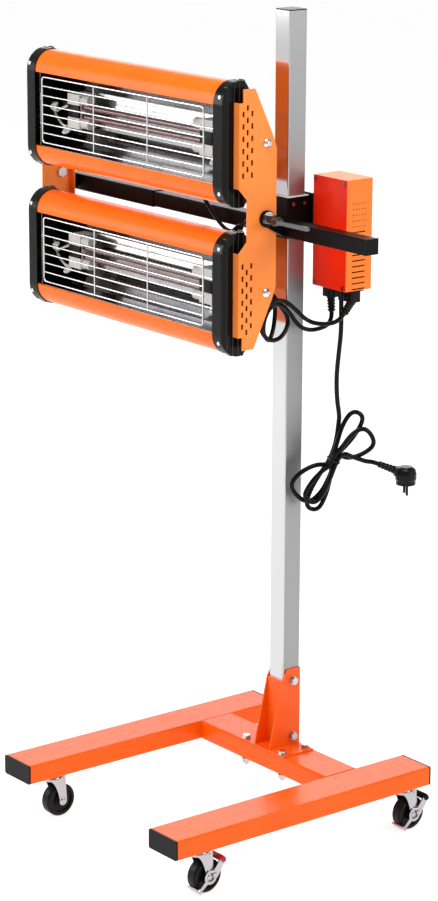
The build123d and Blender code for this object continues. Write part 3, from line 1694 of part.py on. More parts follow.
def make_lamp_leads():
    """Both leads as swept tubes."""
    leads = []
    joined = (("lamp_lead_a", 1, 1, lead_a_route), ("lamp_lead_b", 0, 0, lead_b_route))
    for name, boot, plug, middle in joined:
        boot_x = head_x + cassette_end - lead_boot_insets[boot]
        start = along(lead_boot_origin(boot_x), boot_direction, boot_length)
        second = along(start, boot_direction, lead_first_runs[boot])
        x = socket_places()[plug]
        tip = along((x, box_y, plug_bottom()), plug_direction(plug), plug_boot_length)
        before = along(tip, plug_direction(plug), lead_exit_run)
        points = [start, second] + list(middle) + [before, tip]
        tube, wire = cord_solid(name, points, lead_diameter)
        print(name, "least gap to itself", round(least_gap(wire, lead_diameter, lead_samples, lead_skip), 2))
        leads.append(tube)
    return leads


lead_samples = 400
lead_skip = 22


def make_link_lead():
    """The lead that joins the two cassettes."""
    (o0, d0), (o1, d1) = link_gland_ends()
    start = along(o0, d0, link_gland_length)
    finish = along(o1, d1, link_gland_length)
    points = [start, along(start, d0, link_lead_in)]
    points += [(x, pivot_y + y, pivot_z + z) for x, y, z in link_steps]
    points += [along(finish, d1, link_lead_in), finish]
    tube, wire = cord_solid("link_lead", points, link_diameter)
    return tube


# The link lead's route: x, and y and z from the tilt axis.
link_steps = (
    (-146.7, 12.2, 10.6),
    (-138.0, 14.0, -0.5),
    (-122.0, 16.5, -18.0),
    (-102.0, 18.0, -35.0),
    (-82.0, 19.0, -43.5),
    (-62.0, 21.0, -40.0),
    (-46.5, 23.0, -29.2),
    (-33.8, 22.8, -19.4),
    (-27.3, 19.3, -16.3),
    (-22.0, 13.4, -15.8),
)
link_lead_in = 8.5


keep("left_beam", make_beam(-beam_x))
keep("right_beam", make_beam(beam_x))
keep("beam_end_caps", make_end_caps())
keep("crossbeam", make_crossbeam())
keep("post_bracket", make_post_bracket())
keep("post_tube", make_post())
keep("post_cap", make_post_cap())
make_m8_hardware()
keep("caster_stems", make_caster_stems())
for name, x, y, braked in caster_places():
    keep("caster_fork_" + name, make_fork(x, y, braked))
    keep("caster_wheel_" + name, make_wheel(x, y))
    if braked:
        keep("brake_lever_" + name, make_brake_lever(x, y))
        keep("brake_pedal_" + name, make_brake_pedal(x, y))
keep("slider_sleeve", make_sleeve() + make_knob_nut())
keep("slider_liner", make_liner())
keep("box_bracket", make_box_bracket())
keep("height_lock_knob", make_knob())
keep("arm_tube", make_arm())
keep("arm_plugs", make_arm_plugs())
keep("yoke_brackets", make_yokes())
keep("side_plate_right", make_side_plate(plate_right_x, -1))
keep("side_plate_left", make_side_plate(plate_left_x, 1))
keep("pivot_hardware", group([make_pivot_bolts(), make_pivot_washers()]))
keep("tilt_lever", make_tilt_lever())
keep("upper_housing", make_cassette_housing(cassette_z[0]))
keep("lower_housing", make_cassette_housing(cassette_z[1]))
keep("cassette_end_caps", group([make_end_cap(z, side) for z in cassette_z for side in (-1, 1)]))
keep("cap_screws", make_cap_screws())
keep("cassette_bolts", make_cassette_bolts())
keep("cassette_spacers", make_cassette_spacers())
keep("reflectors", group([make_reflector(z) for z in cassette_z]))
keep("quartz_tubes", make_quartz_tubes())
keep("tube_holders", make_tube_holders())
keep("grilles", group([make_grille(z) for z in cassette_z]))
keep("lead_boots", make_lead_boots())
keep("link_lead", make_link_lead())
keep("box_shell", make_box_shell())
keep("box_cover", make_box_cover())
keep("m4_screws", make_m4_screws())
keep("terminal_block", make_terminal_block())
keep("lamp_sockets", make_lamp_sockets())
keep("lamp_plugs", make_lamp_plugs())
keep("mains_gland", make_mains_gland())
last_points = make_mains_lead()
keep("cord_tie", make_cord_tie(), True)
plug, pin_places = make_mains_plug(last_points)
keep("mains_plug", plug, True)
leads = make_lamp_leads()
keep("lamp_lead_a", leads[0])
keep("lamp_lead_b", leads[1])

rigid = [shape for name, shape in nodes.items() if name not in cord_nodes]
boxes = [shape.bounding_box() for shape in rigid]
low = [min(tuple(b.min)[i] for b in boxes) for i in range(3)]
high = [max(tuple(b.max)[i] for b in boxes) for i in range(3)]
shift = (-(low[0] + high[0]) / 2, -(low[1] + high[1]) / 2, 0)
print("box", [round(h - l, 2) for l, h in zip(low, high)], "shift", [round(s, 3) for s in shift])

os.makedirs("parts", exist_ok=True)
for name, shape in nodes.items():
    export_step(Pos(*shift) * shape, "parts/" + name + ".step")
for spot in pin_places:
    print("plug pin root", [round((c + d) / 1000, 6) for c, d in zip(spot, shift)])
print(len(nodes), "nodes")
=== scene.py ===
import math

import bmesh
import bpy
import numpy as np
from mathutils import Matrix, Vector


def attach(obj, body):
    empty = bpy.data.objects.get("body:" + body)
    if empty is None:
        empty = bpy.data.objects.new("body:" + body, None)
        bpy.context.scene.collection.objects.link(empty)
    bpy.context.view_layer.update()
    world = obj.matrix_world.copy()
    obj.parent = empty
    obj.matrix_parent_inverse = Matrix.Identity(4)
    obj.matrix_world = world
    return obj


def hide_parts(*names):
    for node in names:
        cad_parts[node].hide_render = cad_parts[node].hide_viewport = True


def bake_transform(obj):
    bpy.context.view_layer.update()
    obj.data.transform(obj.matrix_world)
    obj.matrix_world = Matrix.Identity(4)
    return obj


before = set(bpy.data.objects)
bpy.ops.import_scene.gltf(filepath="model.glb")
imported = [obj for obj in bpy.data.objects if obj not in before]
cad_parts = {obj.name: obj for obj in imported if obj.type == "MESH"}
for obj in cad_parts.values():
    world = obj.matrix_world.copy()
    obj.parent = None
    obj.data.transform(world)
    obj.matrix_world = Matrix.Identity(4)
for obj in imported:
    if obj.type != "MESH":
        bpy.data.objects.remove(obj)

bl_info = {
    "name": "Infrared paint curing lamp",
    "version": (1, 0, 0),
    "blender": (4, 5, 0),
    "location": "View3D > Sidebar > Curing lamp",
    "description": "Dresses the packed curing lamp and sets it in a plain studio",
    "category": "Add Mesh",
}

# The parts are built with the post at x = 0 and the beams' front at y = 0, in
# millimetres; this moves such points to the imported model's place.
TO_MODEL = np.array([166.5, -300.1134, 0.0])

# Points closer than this, in metres, are joined.
MERGE = 2e-5

# Head: its middle, the tilt axis in y and z, and the cassettes' heights and half length.
HEAD_X = -264.85
PIVOT = (358.0, 1135.0)
CASSETTE_Z = (1267.5, 1002.5)
CASSETTE_HALF = 295.85

# A cassette in section: half height, front before the tilt axis, front corner radius,
# and the run in y and fall in z of its sloping back.
CAP_HALF = 111.0
CAP_FRONT = 86.0
CAP_CORNER = 40.0
BACK_SLOPE = (50.0, 81.0)

# Ribs of the end caps: each one's place from the tilt axis with its run over the cap's
# top, their radius, the turn at the cap's edge, and how deep they sit.
RIBS = ((-73.0, 9.0), (-59.5, 16.0), (-47.7, 16.0), (-36.0, 16.0))
RIB_RADIUS, RIB_TURN, RIB_SUNK = 1.3, 4.0, 0.2

# Inside a cassette: the holder's distance from the end, and the wire's radius.
HOLDER_INSET = 107.0
SLEEVED_RADIUS = 2.2

# Casters: swivel axes in x and y, and the axle behind and above them.
CASTERS = (("fl", -222.0, 76.0), ("fr", 222.0, 76.0), ("rl", -222.0, 550.6), ("rr", 222.0, 550.6))
AXLE_Y, AXLE_Z = 15.0, 31.0

# Control box: its middle in x and y and its underside. Below it the plugs, to either
# side, with each boot's length, and the gland and diameter of the mains lead.
BOX_X, BOX_Y, BOX_BOTTOM = 78.0, 508.0, 1001.0
PLUG_OFFSET, PLUG_DROP, PLUG_BOOT = 28.5, 22.0, 28.0
GLAND_DROP = 24.0
CORD_D = 8.5

# Stage: floor, light of the surroundings, and softboxes by name, place, aim, size and watts.
FLOOR_HALF = 60.0
SURROUNDINGS = 0.42
SOFTBOXES = (
    ("softbox_top", (0.4, -0.6, 3.6), (0.0, 0.0, 0.6), 2.2, 70.0),
    ("softbox_left", (-2.6, -2.8, 2.0), (0.0, 0.0, 0.9), 2.0, 60.0),
    ("softbox_right", (3.2, 1.6, 2.2), (0.1, 0.1, 0.9), 1.5, 45.0),
    ("softbox_back", (-4.6, 3.8, 2.9), (0.0, 0.0, 0.4), 2.6, 45.0),
)

# Camera: place, turns in radians, focal length and image height in pixels, sensor in mm.
EYE = (3893.7, -2759.7, 2039.3)
YAW, PITCH, ROLL = 0.9058, 0.2613, 0.0047
FOCAL, IMAGE_HEIGHT, SENSOR = 2871.3, 901.0, 36.0


def model(points):
    """Millimetres in the building frame to metres in the model's frame."""
    return (np.asarray(points, dtype=float) + TO_MODEL) / 1000


def unit(vector):
    """A vector of length one."""
    vector = np.asarray(vector, dtype=float)
    return vector / np.linalg.norm(vector)


# Mesh making


def sheet_faces(rows, columns, round_rows=False, round_columns=False):
    """Quads of a grid of rows by columns, joined round where asked."""
    r = np.arange(rows if round_rows else rows - 1)
    c = np.arange(columns if round_columns else columns - 1)
    a, b = np.meshgrid(r, c, indexing="ij")
    a2, b2 = (a + 1) % rows, (b + 1) % columns
    quads = np.stack([a * columns + b, a * columns + b2, a2 * columns + b2, a2 * columns + b], axis=-1)
    return quads.reshape(-1, 4)


class Shape:
    """Points and faces gathered from several surfaces, then made one mesh."""

    def __init__(self):
        self.points = []
        self.quads = []
        self.fans = []
        self.count = 0

    def surface(self, grid, round_rows=False, round_columns=False):
        """A grid of points (rows, columns, 3) as a surface."""
        rows, columns = grid.shape[:2]
        quads = sheet_faces(rows, columns, round_rows, round_columns)
        self.points.append(grid.reshape(-1, 3))
        self.quads.append(quads + self.count)
        self.count += rows * columns
        return self

    def lid(self, loop, flip=False):
        """A flat face over a closed loop of points."""
        order = np.arange(len(loop))
        self.points.append(np.asarray(loop, dtype=float))
        self.fans.append((order[::-1] if flip else order) + self.count)
        self.count += len(loop)
        return self

    def piece(self, name, body, material, smooth, slot=None):
        """The mesh as a piece, which rides on a body where one is named."""
        mesh = bpy.data.meshes.new(name)
        faces = [q for part in self.quads for q in part.tolist()] + [f.tolist() for f in self.fans]
        mesh.from_pydata(model(np.concatenate(self.points)), [], faces)
        obj = bpy.data.objects.new(name, mesh)
        bpy.context.scene.collection.objects.link(obj)
        tidy_mesh(mesh, smooth)
        mesh.materials.append(material)
        if body:
            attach(obj, body)
        return obj


def tidy_mesh(mesh, smooth):
    """Joins doubled points, turns faces outwards and smooths edges of less than an angle."""
    work = bmesh.new()
    work.from_mesh(mesh)
    bmesh.ops.remove_doubles(work, verts=work.verts, dist=MERGE)
    bmesh.ops.dissolve_degenerate(work, edges=work.edges, dist=1e-7)
    bmesh.ops.recalc_face_normals(work, faces=work.faces)
    limit = math.radians(smooth)
    for face in work.faces:
        face.smooth = True
    for edge in work.edges:
        edge.smooth = len(edge.link_faces) == 2 and edge.calc_face_angle(0) < limit
    work.to_mesh(mesh)
    work.free()


def ring(count):
    """Cosines and sines of evenly spaced angles round a circle."""
    angle = np.linspace(0, 2 * math.pi, count, endpoint=False)
    return np.cos(angle), np.sin(angle)


def side_frame(axis):
    """Two unit vectors square to an axis and to each other."""
    axis = unit(axis)
    spare = np.array([0.0, 0.0, 1.0]) if abs(axis[2]) < 0.9 else np.array([1.0, 0.0, 0.0])
    first = unit(np.cross(spare, axis))
    return first, np.cross(axis, first)


def turned(shape, profile, origin, axis, count=32):
    """Adds a turned form. P(i, a) = origin + h_i axis + r_i (cos a e1 + sin a e2)."""
    profile = np.asarray(profile, dtype=float)
    e1, e2 = side_frame(axis)
    c, s = ring(count)
    radial = c[:, None] * e1 + s[:, None] * e2
    grid = np.asarray(origin) + profile[:, 1, None, None] * unit(axis) + profile[:, 0, None, None] * radial
    return shape.surface(grid, round_columns=True)


def rounded_box(low, high, half, r, steps):
    """A closed loop round a box, a from low to high and b to half on either side.

    Each corner's arc is tangent to its two sides: centre on the bisector,
    points c + r (cos t, sin t) over the turn.
    """
    corners = np.array([(low, -half), (high, -half), (high, half), (low, half)])
    out = []
    for corner, before, after in zip(corners, np.roll(corners, 1, 0), np.roll(corners, -1, 0)):
        u, v = unit(before - corner), unit(after - corner)
        half = math.acos(np.clip(np.dot(u, v), -1, 1)) / 2
        centre = corner + unit(u + v) * r / math.sin(half)
        start = corner + u * r / math.tan(half) - centre
        end = corner + v * r / math.tan(half) - centre
        a0, a1 = math.atan2(start[1], start[0]), math.atan2(end[1], end[0])
        sweep = (a1 - a0 + math.pi) % (2 * math.pi) - math.pi
        t = a0 + np.linspace(0, 1, steps) * sweep
        out.append(centre + r * np.stack([np.cos(t), np.sin(t)], axis=1))
    return np.concatenate(out)


def loop_normals(loop):
    """Outward unit normals of a closed loop that runs either way round."""
    step = np.roll(loop, -1, 0) - np.roll(loop, 1, 0)
    normal = np.stack([step[:, 1], -step[:, 0]], axis=1)
    normal /= np.linalg.norm(normal, axis=1)[:, None] + 1e-12
    area = np.sum(loop[:, 0] * np.roll(loop[:, 1], -1) - np.roll(loop[:, 0], -1) * loop[:, 1])
    return normal if area > 0 else -normal


def eased_prism(shape, loop, low, high, ease, place, steps=3):
    """Adds a prism with eased edges.

    P(i, j) = loop_j - d_i n_j at depth w_i, where (w, d) runs round a quarter
    circle of the easing radius at each end; place maps (a, b, w) to a point.
    """
    t = np.linspace(0, math.pi / 2, steps)
    near = np.stack([low + ease * (1 - np.sin(t)), ease * (1 - np.cos(t))], axis=1)[::-1]
    far = np.stack([high - ease * (1 - np.sin(t)), ease * (1 - np.cos(t))], axis=1)
    rows = np.concatenate([near, far])
    normal = loop_normals(loop)
    flat = loop[None] - rows[:, 1, None, None] * normal[None]
    depth = np.broadcast_to(rows[:, 0, None], flat.shape[:2])
    grid = place(flat[..., 0], flat[..., 1], depth)
    shape.surface(grid, round_columns=True)
    shape.lid(grid[0], flip=True)
    shape.lid(grid[-1])
    return shape


def across_x(origin):
    """Maps a loop in (y, z) and a depth along x to points."""
    return lambda a, b, w: np.stack([w, a + origin[0], b + origin[1]], axis=-1)


def tube_path(shape, path, radius, count=8):
    """Adds a round bar along a path: P(i, a) = p_i + r (cos a n_i + sin a b_i)."""
    path = np.asarray(path, dtype=float)
    tangent = np.gradient(path, axis=0)
    tangent /= np.linalg.norm(tangent, axis=1)[:, None]
    spare = np.array([0.13, 0.21, 0.97])
    first = np.cross(tangent, spare)
    first /= np.linalg.norm(first, axis=1)[:, None]
    second = np.cross(tangent, first)
    c, s = ring(count)
    grid = path[:, None] + radius * (c[:, None] * first[:, None] + s[:, None] * second[:, None])
    shape.surface(grid, round_columns=True)
    shape.lid(grid[0], flip=True)
    shape.lid(grid[-1])
    return shape


# Materials


class Term:
    """One output of a node, with arithmetic that adds the nodes it needs."""

    def __init__(self, shader, socket):
        self.shader = shader
        self.socket = socket

    def maths(self, operation, *others):
        """A maths node whose first value is this term."""
        values = dict(enumerate((self, *others)))
        return self.shader.node("ShaderNodeMath", {"operation": operation}, values)

    def __add__(self, other):
        return self.maths("ADD", other)

    __radd__ = __add__

    def __sub__(self, other):
        return self.maths("SUBTRACT", other)

    def __rsub__(self, other):
        return self.maths("MULTIPLY", -1.0).maths("ADD", other)

    def __mul__(self, other):
        return self.maths("MULTIPLY", other)

    __rmul__ = __mul__

    def over(self, low, high):
        """Rises smoothly from 0 at low to 1 at high."""
        values = {0: self, 1: low, 2: high}
        return self.shader.node("ShaderNodeMapRange", {"interpolation_type": "SMOOTHSTEP"}, values)


class Shader:
    """A material that is built up from nodes."""

    def __init__(self, name):
        self.material = bpy.data.materials.new(name)
        self.material.use_nodes = True
        self.tree = self.material.node_tree
        self.surface = self.tree.nodes["Principled BSDF"]
        self.place = None

    def node(self, kind, settings=None, values=None, output=0):
        """Any node: its settings first, then the values or links of its sockets."""
        made = self.tree.nodes.new(kind)
        for key, value in (settings or {}).items():
            setattr(made, key, value)
        for key, value in (values or {}).items():
            self.feed(made.inputs[key], value)
        return Term(self, made.outputs[output])

    def feed(self, socket, value):
        """Links a term to a socket, or sets the socket's own value."""
        if isinstance(value, Term):
            self.tree.links.new(value.socket, socket)
        else:
            socket.default_value = value

    def where(self):
        """Object coordinates, in metres of the model's frame."""
        if self.place is None:
            self.place = self.node("ShaderNodeTexCoord", output=3)
        return self.place

    def axis(self, index):
        """One of the object coordinates."""
        return self.node("ShaderNodeSeparateXYZ", None, {0: self.where()}, output=index)

    def stretched(self, scale):
        """Object coordinates with a scale of their own along each axis."""
        return self.node("ShaderNodeMapping", None, {"Vector": self.where(), "Scale": scale})

    def noise(self, scale, detail=3.0, rough=0.5, vector=None):
        """Fractal noise from 0 to 1, with a scale in cells to the metre."""
        values = {"Vector": vector or self.where(), "Scale": scale, "Detail": detail, "Roughness": rough}
        return self.node("ShaderNodeTexNoise", None, values)

    def blend(self, share, first, second):
        """A colour between two colours."""
        values = {0: share, 6: colour(first), 7: colour(second)}
        return self.node("ShaderNodeMix", {"data_type": "RGBA"}, values, output=2)

    def bump(self, height, strength, distance):
        """Relief from a height, in metres at full strength."""
        values = {"Height": height, "Strength": strength, "Distance": distance}
        return self.set(Normal=self.node("ShaderNodeBump", None, values))

    def set(self, **values):
        """Feeds the shader's sockets, named with _ for each space."""
        for key, value in values.items():
            name = key.replace("_", " ")
            self.feed(self.surface.inputs[name], colour(value) if name in COLOURED else value)
        return self


COLOURED = ("Base Color", "Emission Color")


def colour(value):
    """Three numbers as a colour with alpha, anything else as it is."""
    if isinstance(value, Term) or len(value) == 4:
        return value
    return (*value, 1.0)


def shade(base, factor):
    """A colour made lighter or darker."""
    return tuple(min(1.0, c * factor) for c in base)


def powder_coat(name, base, rough=0.24, peel=0.16, gloss=0.25, coat=0.12):
    """Glossy powder coat: a fine orange peel, faint clouding and dust in the gloss."""
    made = Shader(name)
    cloud = made.noise(9.0, 4.0)
    made.set(Base_Color=made.blend(cloud.over(0.3, 0.7), shade(base, 0.94), shade(base, 1.05)))
    made.set(Roughness=made.noise(60.0, 4.0) * 0.12 + (rough - 0.06))
    made.set(Coat_Weight=coat, Coat_Roughness=0.08, Specular_IOR_Level=gloss)
    peel_height = made.noise(520.0, 2.0) + made.noise(1600.0, 1.0) * 0.4
    return made.bump(peel_height, peel, 0.0004).material


def moulded(name, base, rough=0.42, grain=0.3, scale=1500.0, coat=0.0, gloss=0.16):
    """Moulded plastic with a fine grain and slight wear in its gloss."""
    made = Shader(name)
    cloud = made.noise(25.0, 3.0)
    made.set(Base_Color=made.blend(cloud, shade(base, 0.85), shade(base, 1.2)))
    made.set(Roughness=made.noise(80.0, 4.0) * 0.16 + (rough - 0.08))
    made.set(Coat_Weight=coat, Coat_Roughness=0.1, Specular_IOR_Level=gloss)
    return made.bump(made.noise(scale, 2.0), grain, 0.0003).material


def plated(name, base, rough=0.14, streak=(40.0, 40.0, 40.0), strength=0.05, spread=0.1):
    """Plated metal: bright, with fine drawing marks along one direction and slight haze."""
    made = Shader(name)
    lines = made.noise(30.0, 4.0, 0.6, made.stretched(streak))
    haze = made.noise(14.0, 3.0)
    made.set(Base_Color=made.blend(haze.over(0.25, 0.8), shade(base, 0.9), shade(base, 1.04)))
    made.set(Metallic=1.0, Roughness=lines * spread + haze * 0.06 + (rough - 0.05 - spread / 2))
    return made.bump(lines, strength, 0.0003).material


def drawn_post(name, base):
    """Plated square tube: bright in front, where x is small, with a satin right face whose colour is also
    painted darker, as shade.
    """
    made = Shader(name)
    lines = made.noise(30.0, 4.0, 0.6, made.stretched((60.0, 60.0, 0.5)))
    satin_and_shade_right = made.axis(0).over(0.1861, 0.1864)
    # Painted shade: past x = 0.1861 the colour drops to 0.6 of the base, standing in for the shade on the right
    # face.
    made.set(Base_Color=made.blend(satin_and_shade_right, base, shade(base, 0.6)))
    made.set(Metallic=1.0, Roughness=lines * 0.05 + satin_and_shade_right * 0.3 + 0.07)
    return made.bump(lines, 0.04, 0.0003).material


def tilt_stud(name, base):
    """Chrome bolts and washers, dull on the left, with a black stud past the right one."""
    made = Shader(name)
    haze = made.noise(40.0, 3.0)
    black = made.axis(0).over(0.2217, 0.2221)
    made.set(Base_Color=made.blend(black, base, (0.012, 0.012, 0.014)))
    left = 1.0 - made.axis(0).over(-0.3, -0.1)
    made.set(Metallic=1.0 - black, Roughness=haze * 0.06 + black * 0.15 + left * 0.4 + 0.07)
    return made.bump(haze, 0.03, 0.0003).material


def ruby_quartz(name):
    """Ruby quartz: dark red glass that lights up at its edges."""
    made = Shader(name)
    band = made.noise(20.0, 2.0, 0.5, made.stretched((6.0, 60.0, 60.0)))
    made.set(Base_Color=made.blend(band, (0.10, 0.008, 0.012), (0.22, 0.012, 0.014)))
    made.set(Roughness=0.04, IOR=1.46, Transmission_Weight=0.35, Coat_Weight=1.0, Coat_Roughness=0.02)
    return made.material


def cord_sheath(name, base=(0.002, 0.002, 0.0022)):
    """Black lead sheath: smooth, with faint flow marks."""
    made = Shader(name)
    flow = made.noise(420.0, 3.0)
    made.set(Base_Color=made.blend(made.noise(60.0), shade(base, 0.6), shade(base, 1.2)))
    made.set(Roughness=flow * 0.06 + 0.12, Specular_IOR_Level=0.14)
    return made.bump(flow, 0.06, 0.0003).material


def ceramic_white(name):
    """Unglazed ceramic: chalky, with pores."""
    made = Shader(name)
    pores = made.noise(900.0, 4.0, 0.7)
    made.set(Base_Color=made.blend(pores, (0.62, 0.60, 0.56), (0.80, 0.79, 0.75)), Roughness=0.7)
    return made.bump(pores, 0.3, 0.0004).material


def braided_sleeving(name):
    """White glass-fibre sleeving: a fine weave, slightly soiled."""
    made = Shader(name)
    weave = (made.noise(700.0, 2.0) + made.noise(1500.0, 1.0)) * 0.5
    made.set(Base_Color=made.blend(weave.over(0.3, 0.7), (0.7, 0.69, 0.67), (0.9, 0.89, 0.87)))
    made.set(Roughness=0.75)
    return made.bump(weave, 0.6, 0.0006).material


def tread_rubber(name, base):
    """Hard wheel rubber: dusty, with scuffs round the tread."""
    made = Shader(name)
    dust = made.noise(120.0, 5.0, 0.65)
    made.set(Base_Color=made.blend(dust.over(0.35, 0.75), base, shade(base, 2.0)))
    made.set(Roughness=dust * 0.3 + 0.2, Specular_IOR_Level=0.14)
    return made.bump(made.noise(700.0, 3.0), 0.25, 0.0004).material


def polished_sheet(name, base=(0.36, 0.36, 0.365)):
    """Polished reflector sheet: a little haze, pressed with shallow waves."""
    made = Shader(name)
    haze = made.noise(18.0, 3.0)
    made.set(Base_Color=made.blend(haze, shade(base, 0.9), base), Metallic=1.0)
    made.set(Roughness=haze * 0.06 + 0.11)
    waves = made.noise(9.0, 2.0, 0.5, made.stretched((0.3, 2.0, 3.0)))
    return made.bump(waves, 0.16, 0.004).material


def floor_paper(name):
    """Pale studio floor with a faint unevenness."""
    made = Shader(name)
    made.set(Base_Color=made.blend(made.noise(0.8, 3.0), (0.64, 0.64, 0.64), (0.67, 0.67, 0.67)))
    made.set(Emission_Color=(1.0, 1.0, 1.0), Emission_Strength=0.7)
    return made.set(Roughness=0.85, Specular_IOR_Level=0.2).material


FINISHES = {}


def make_finishes(look):
    """All finishes, from the colours that a user can change."""
    orange, red, pale = tuple(look.orange), tuple(look.red), tuple(look.steel)
    black = tuple(look.black)
    FINISHES.update(
        base_orange=powder_coat("base_orange", orange, 0.26, 0.16, 0.13, 0.08),
        head_orange=powder_coat("head_orange", tuple(look.head_orange), 0.28, 0.16, 0.13, 0.08),
        # Painted sheen: the side plates' paint is a lighter, yellower copy of the head's orange, standing in
        # for the sheen on their +x faces.
        plate_orange=powder_coat("plate_orange", tuple(look.plate_orange), 0.34),
        # Painted shade: the box cover's paint is a redder copy of the shell's orange, standing in for the shade
        # on the box's front.
        box_red=powder_coat("box_red", red, 0.3, 0.25),
        bracket_orange=powder_coat("bracket_orange", orange, 0.34, 0.5),
        shell_orange=powder_coat("shell_orange", tuple(look.shell_orange), 0.36, 0.25, 0.12, 0.04),
        arm_black=powder_coat("arm_black", shade(black, 0.4), 0.32, 0.3, 0.07, 0.02),
        post_chrome=drawn_post("post_chrome", pale),
        zinc=plated("zinc", (0.52, 0.52, 0.53), 0.2),
        fork_zinc=plated("fork_zinc", (0.44, 0.44, 0.46), 0.16, (90.0, 90.0, 25.0), 0.12, 0.12),
        screw_zinc=plated("screw_zinc", (0.78, 0.78, 0.78), 0.42),
        lever_steel=plated("lever_steel", (0.16, 0.16, 0.17), 0.3),
        chrome=tilt_stud("chrome", (0.7, 0.7, 0.71)),
        wire_chrome=plated("wire_chrome", (0.86, 0.86, 0.86), 0.14, (8.0, 200.0, 200.0), 0.04, 0.05),
        rib_black=moulded("rib_black", shade(black, 0.4), 0.14, 0.05, 900.0, 0.3, 0.3),
        small_screws=plated("small_screws", (0.3, 0.24, 0.23), 0.28),
        cap_black=moulded("cap_black", shade(black, 0.4), 0.2, 0.1, 900.0, 0.04, 0.14),
        plug_black=moulded("plug_black", shade(black, 0.5), 0.26, 0.2, 1200.0, 0.0, 0.16),
        end_black=moulded("end_black", shade(black, 0.6), 0.34, 0.2, 1500.0, 0.0, 0.1),
        knob_black=moulded("knob_black", black, 0.34, 0.2),
        pedal_red=moulded("pedal_red", (0.42, 0.015, 0.018), 0.3, 0.15, 1500.0, 0.4),
        liner_white=moulded("liner_white", (0.75, 0.74, 0.7), 0.5, 0.2),
        reflector=polished_sheet("reflector"),
        ruby=ruby_quartz("ruby"),
        ceramic=ceramic_white("ceramic"),
        sleeving=braided_sleeving("sleeving"),
        sheath=cord_sheath("sheath"),
        tread=tread_rubber("tread", (0.0035, 0.0035, 0.004)),
    )


# Leads

# The hank: its heading and its layers' direction in plan, the layers' pitch, the tied
# waist (place along the heading and height, lean, half length), each loop's angle,
# length and half width, and a loop's control points as shares of length and half
# width, with the side of its middle line.
HANK_HEADING = np.array([0.45, 0.893])
HANK_ACROSS = np.array([0.893, -0.45])
HANK_PITCH = 9.1
WAIST = np.array([-10.0, 681.0])
WAIST_LEAN = unit((0.42, 0.91))
WAIST_HALF = 12.0
STRAIGHT = 14.0
LOWER_LOOPS = ((22.0, 100.0, 16.0), (46.0, 92.0, 29.0), (33.0, 86.0, 16.0))
UPPER_LOOPS = ((30.0, 96.0, 16.0), (58.0, 82.0, 23.0))
LOBE = ((0.3, 0.62, 1), (0.66, 1.0, 1), (1.0, 0.82, 1), (1.0, 0.82, -1), (0.66, 1.0, -1), (0.3, 0.62, -1))


def hank_point(s, z, layer):
    """A point of the hank: box middle + s heading + pitch (layer - 2) across, at height z."""
    w = HANK_PITCH * (layer - 2)
    level = np.array([BOX_X, BOX_Y]) + HANK_HEADING * s + HANK_ACROSS * w
    return (level[0], level[1], z)


def lobe(angle, length, half_width, layer_in, layer_out, upper):
    """One loop of the hank, out from the waist and back: P = waist + l out e + w side left."""
    a = math.radians(angle)
    sign = 1 if upper else -1
    e = (sign * math.sin(a), sign * math.cos(a))
    left = (-e[1], e[0]) if upper else (e[1], -e[0])
    first = -1 if upper else 1
    points = []
    for out, width, side in LOBE:
        across = first * side * half_width * width
        s = WAIST[0] + e[0] * length * out + left[0] * across
        z = WAIST[1] + e[1] * length * out + left[1] * across
        points.append(hank_point(s, z, layer_out if out < 0.5 and side < 0 else layer_in))
    return points


def waist_pass(side, layer, upward):
    """The lead's straight pass through the tie: P = waist + side beside it, h along the lean."""
    half = side * HANK_PITCH / 2
    s, z = WAIST[0] + half * WAIST_LEAN[1], WAIST[1] - half * WAIST_LEAN[0]
    ends = [
        hank_point(s + end * WAIST_HALF * WAIST_LEAN[0], z + end * WAIST_HALF * WAIST_LEAN[1], layer)
        for end in (-1, 1)
    ]
    return ends if upward else ends[::-1]


def mains_route():
    """The mains lead from its gland, through the tied hank, to the plug's boot."""
    exit_z = BOX_BOTTOM - GLAND_DROP
    points = [(BOX_X, BOX_Y, exit_z), (BOX_X, BOX_Y, exit_z - STRAIGHT)]
    for s, z, layer in ((1.0, 920.0, 1.95), (-2.0, 880.0, 1.6), (-4.5, 835.0, 1.0), (-1.5, 790.0, 0.35)):
        points.append(hank_point(s, z, layer))
    start, second = np.array(hank_point(3.0, 744.0, 0)), np.array(hank_point(-0.5, 717.0, 0.25))
    points += [tuple(start - unit(second - start) * STRAIGHT), tuple(start), tuple(second)]
    points += waist_pass(-1, 1, False)
    for i, size in enumerate(LOWER_LOOPS):
        points += lobe(*size, i + 1, i + 1, False)
        points += waist_pass(1, i + 1, True)
        if i < len(UPPER_LOOPS):
            points += lobe(*UPPER_LOOPS[i], i + 1, i + 2, True)
            points += waist_pass(-1, i + 2, False)
    points += [hank_point(s, z, 3) for s, z in ((9.7, 694.6), (22.0, 688.0), (36.5, 682.5))]
    leaving = unit(np.array(points[-1]) - np.array(points[-2]))
    points.append(tuple(np.array(points[-1]) + leaving * STRAIGHT))
    points += [hank_point(61.0, 676.5, 3), hank_point(73.0, 671.5, 3)]
    return points


# The boots on the lower cassette: how they lean, their foot in y and z, their length.
# The plugs' boots: their aims, left and right, and the lead's straight run from them.
BOOT_LEAN = math.radians(47.0)
BOOT_AIM = np.array([0.0, math.cos(BOOT_LEAN), -math.sin(BOOT_LEAN)])
BOOT_FOOT, BOOT_LENGTH = (372.0, 1011.0), 46.0
PLUG_AIM = (unit((0.2, -0.1, -1.0)), unit((-0.52, -0.28, -1.0)))
PLUG_RUN = 22.0

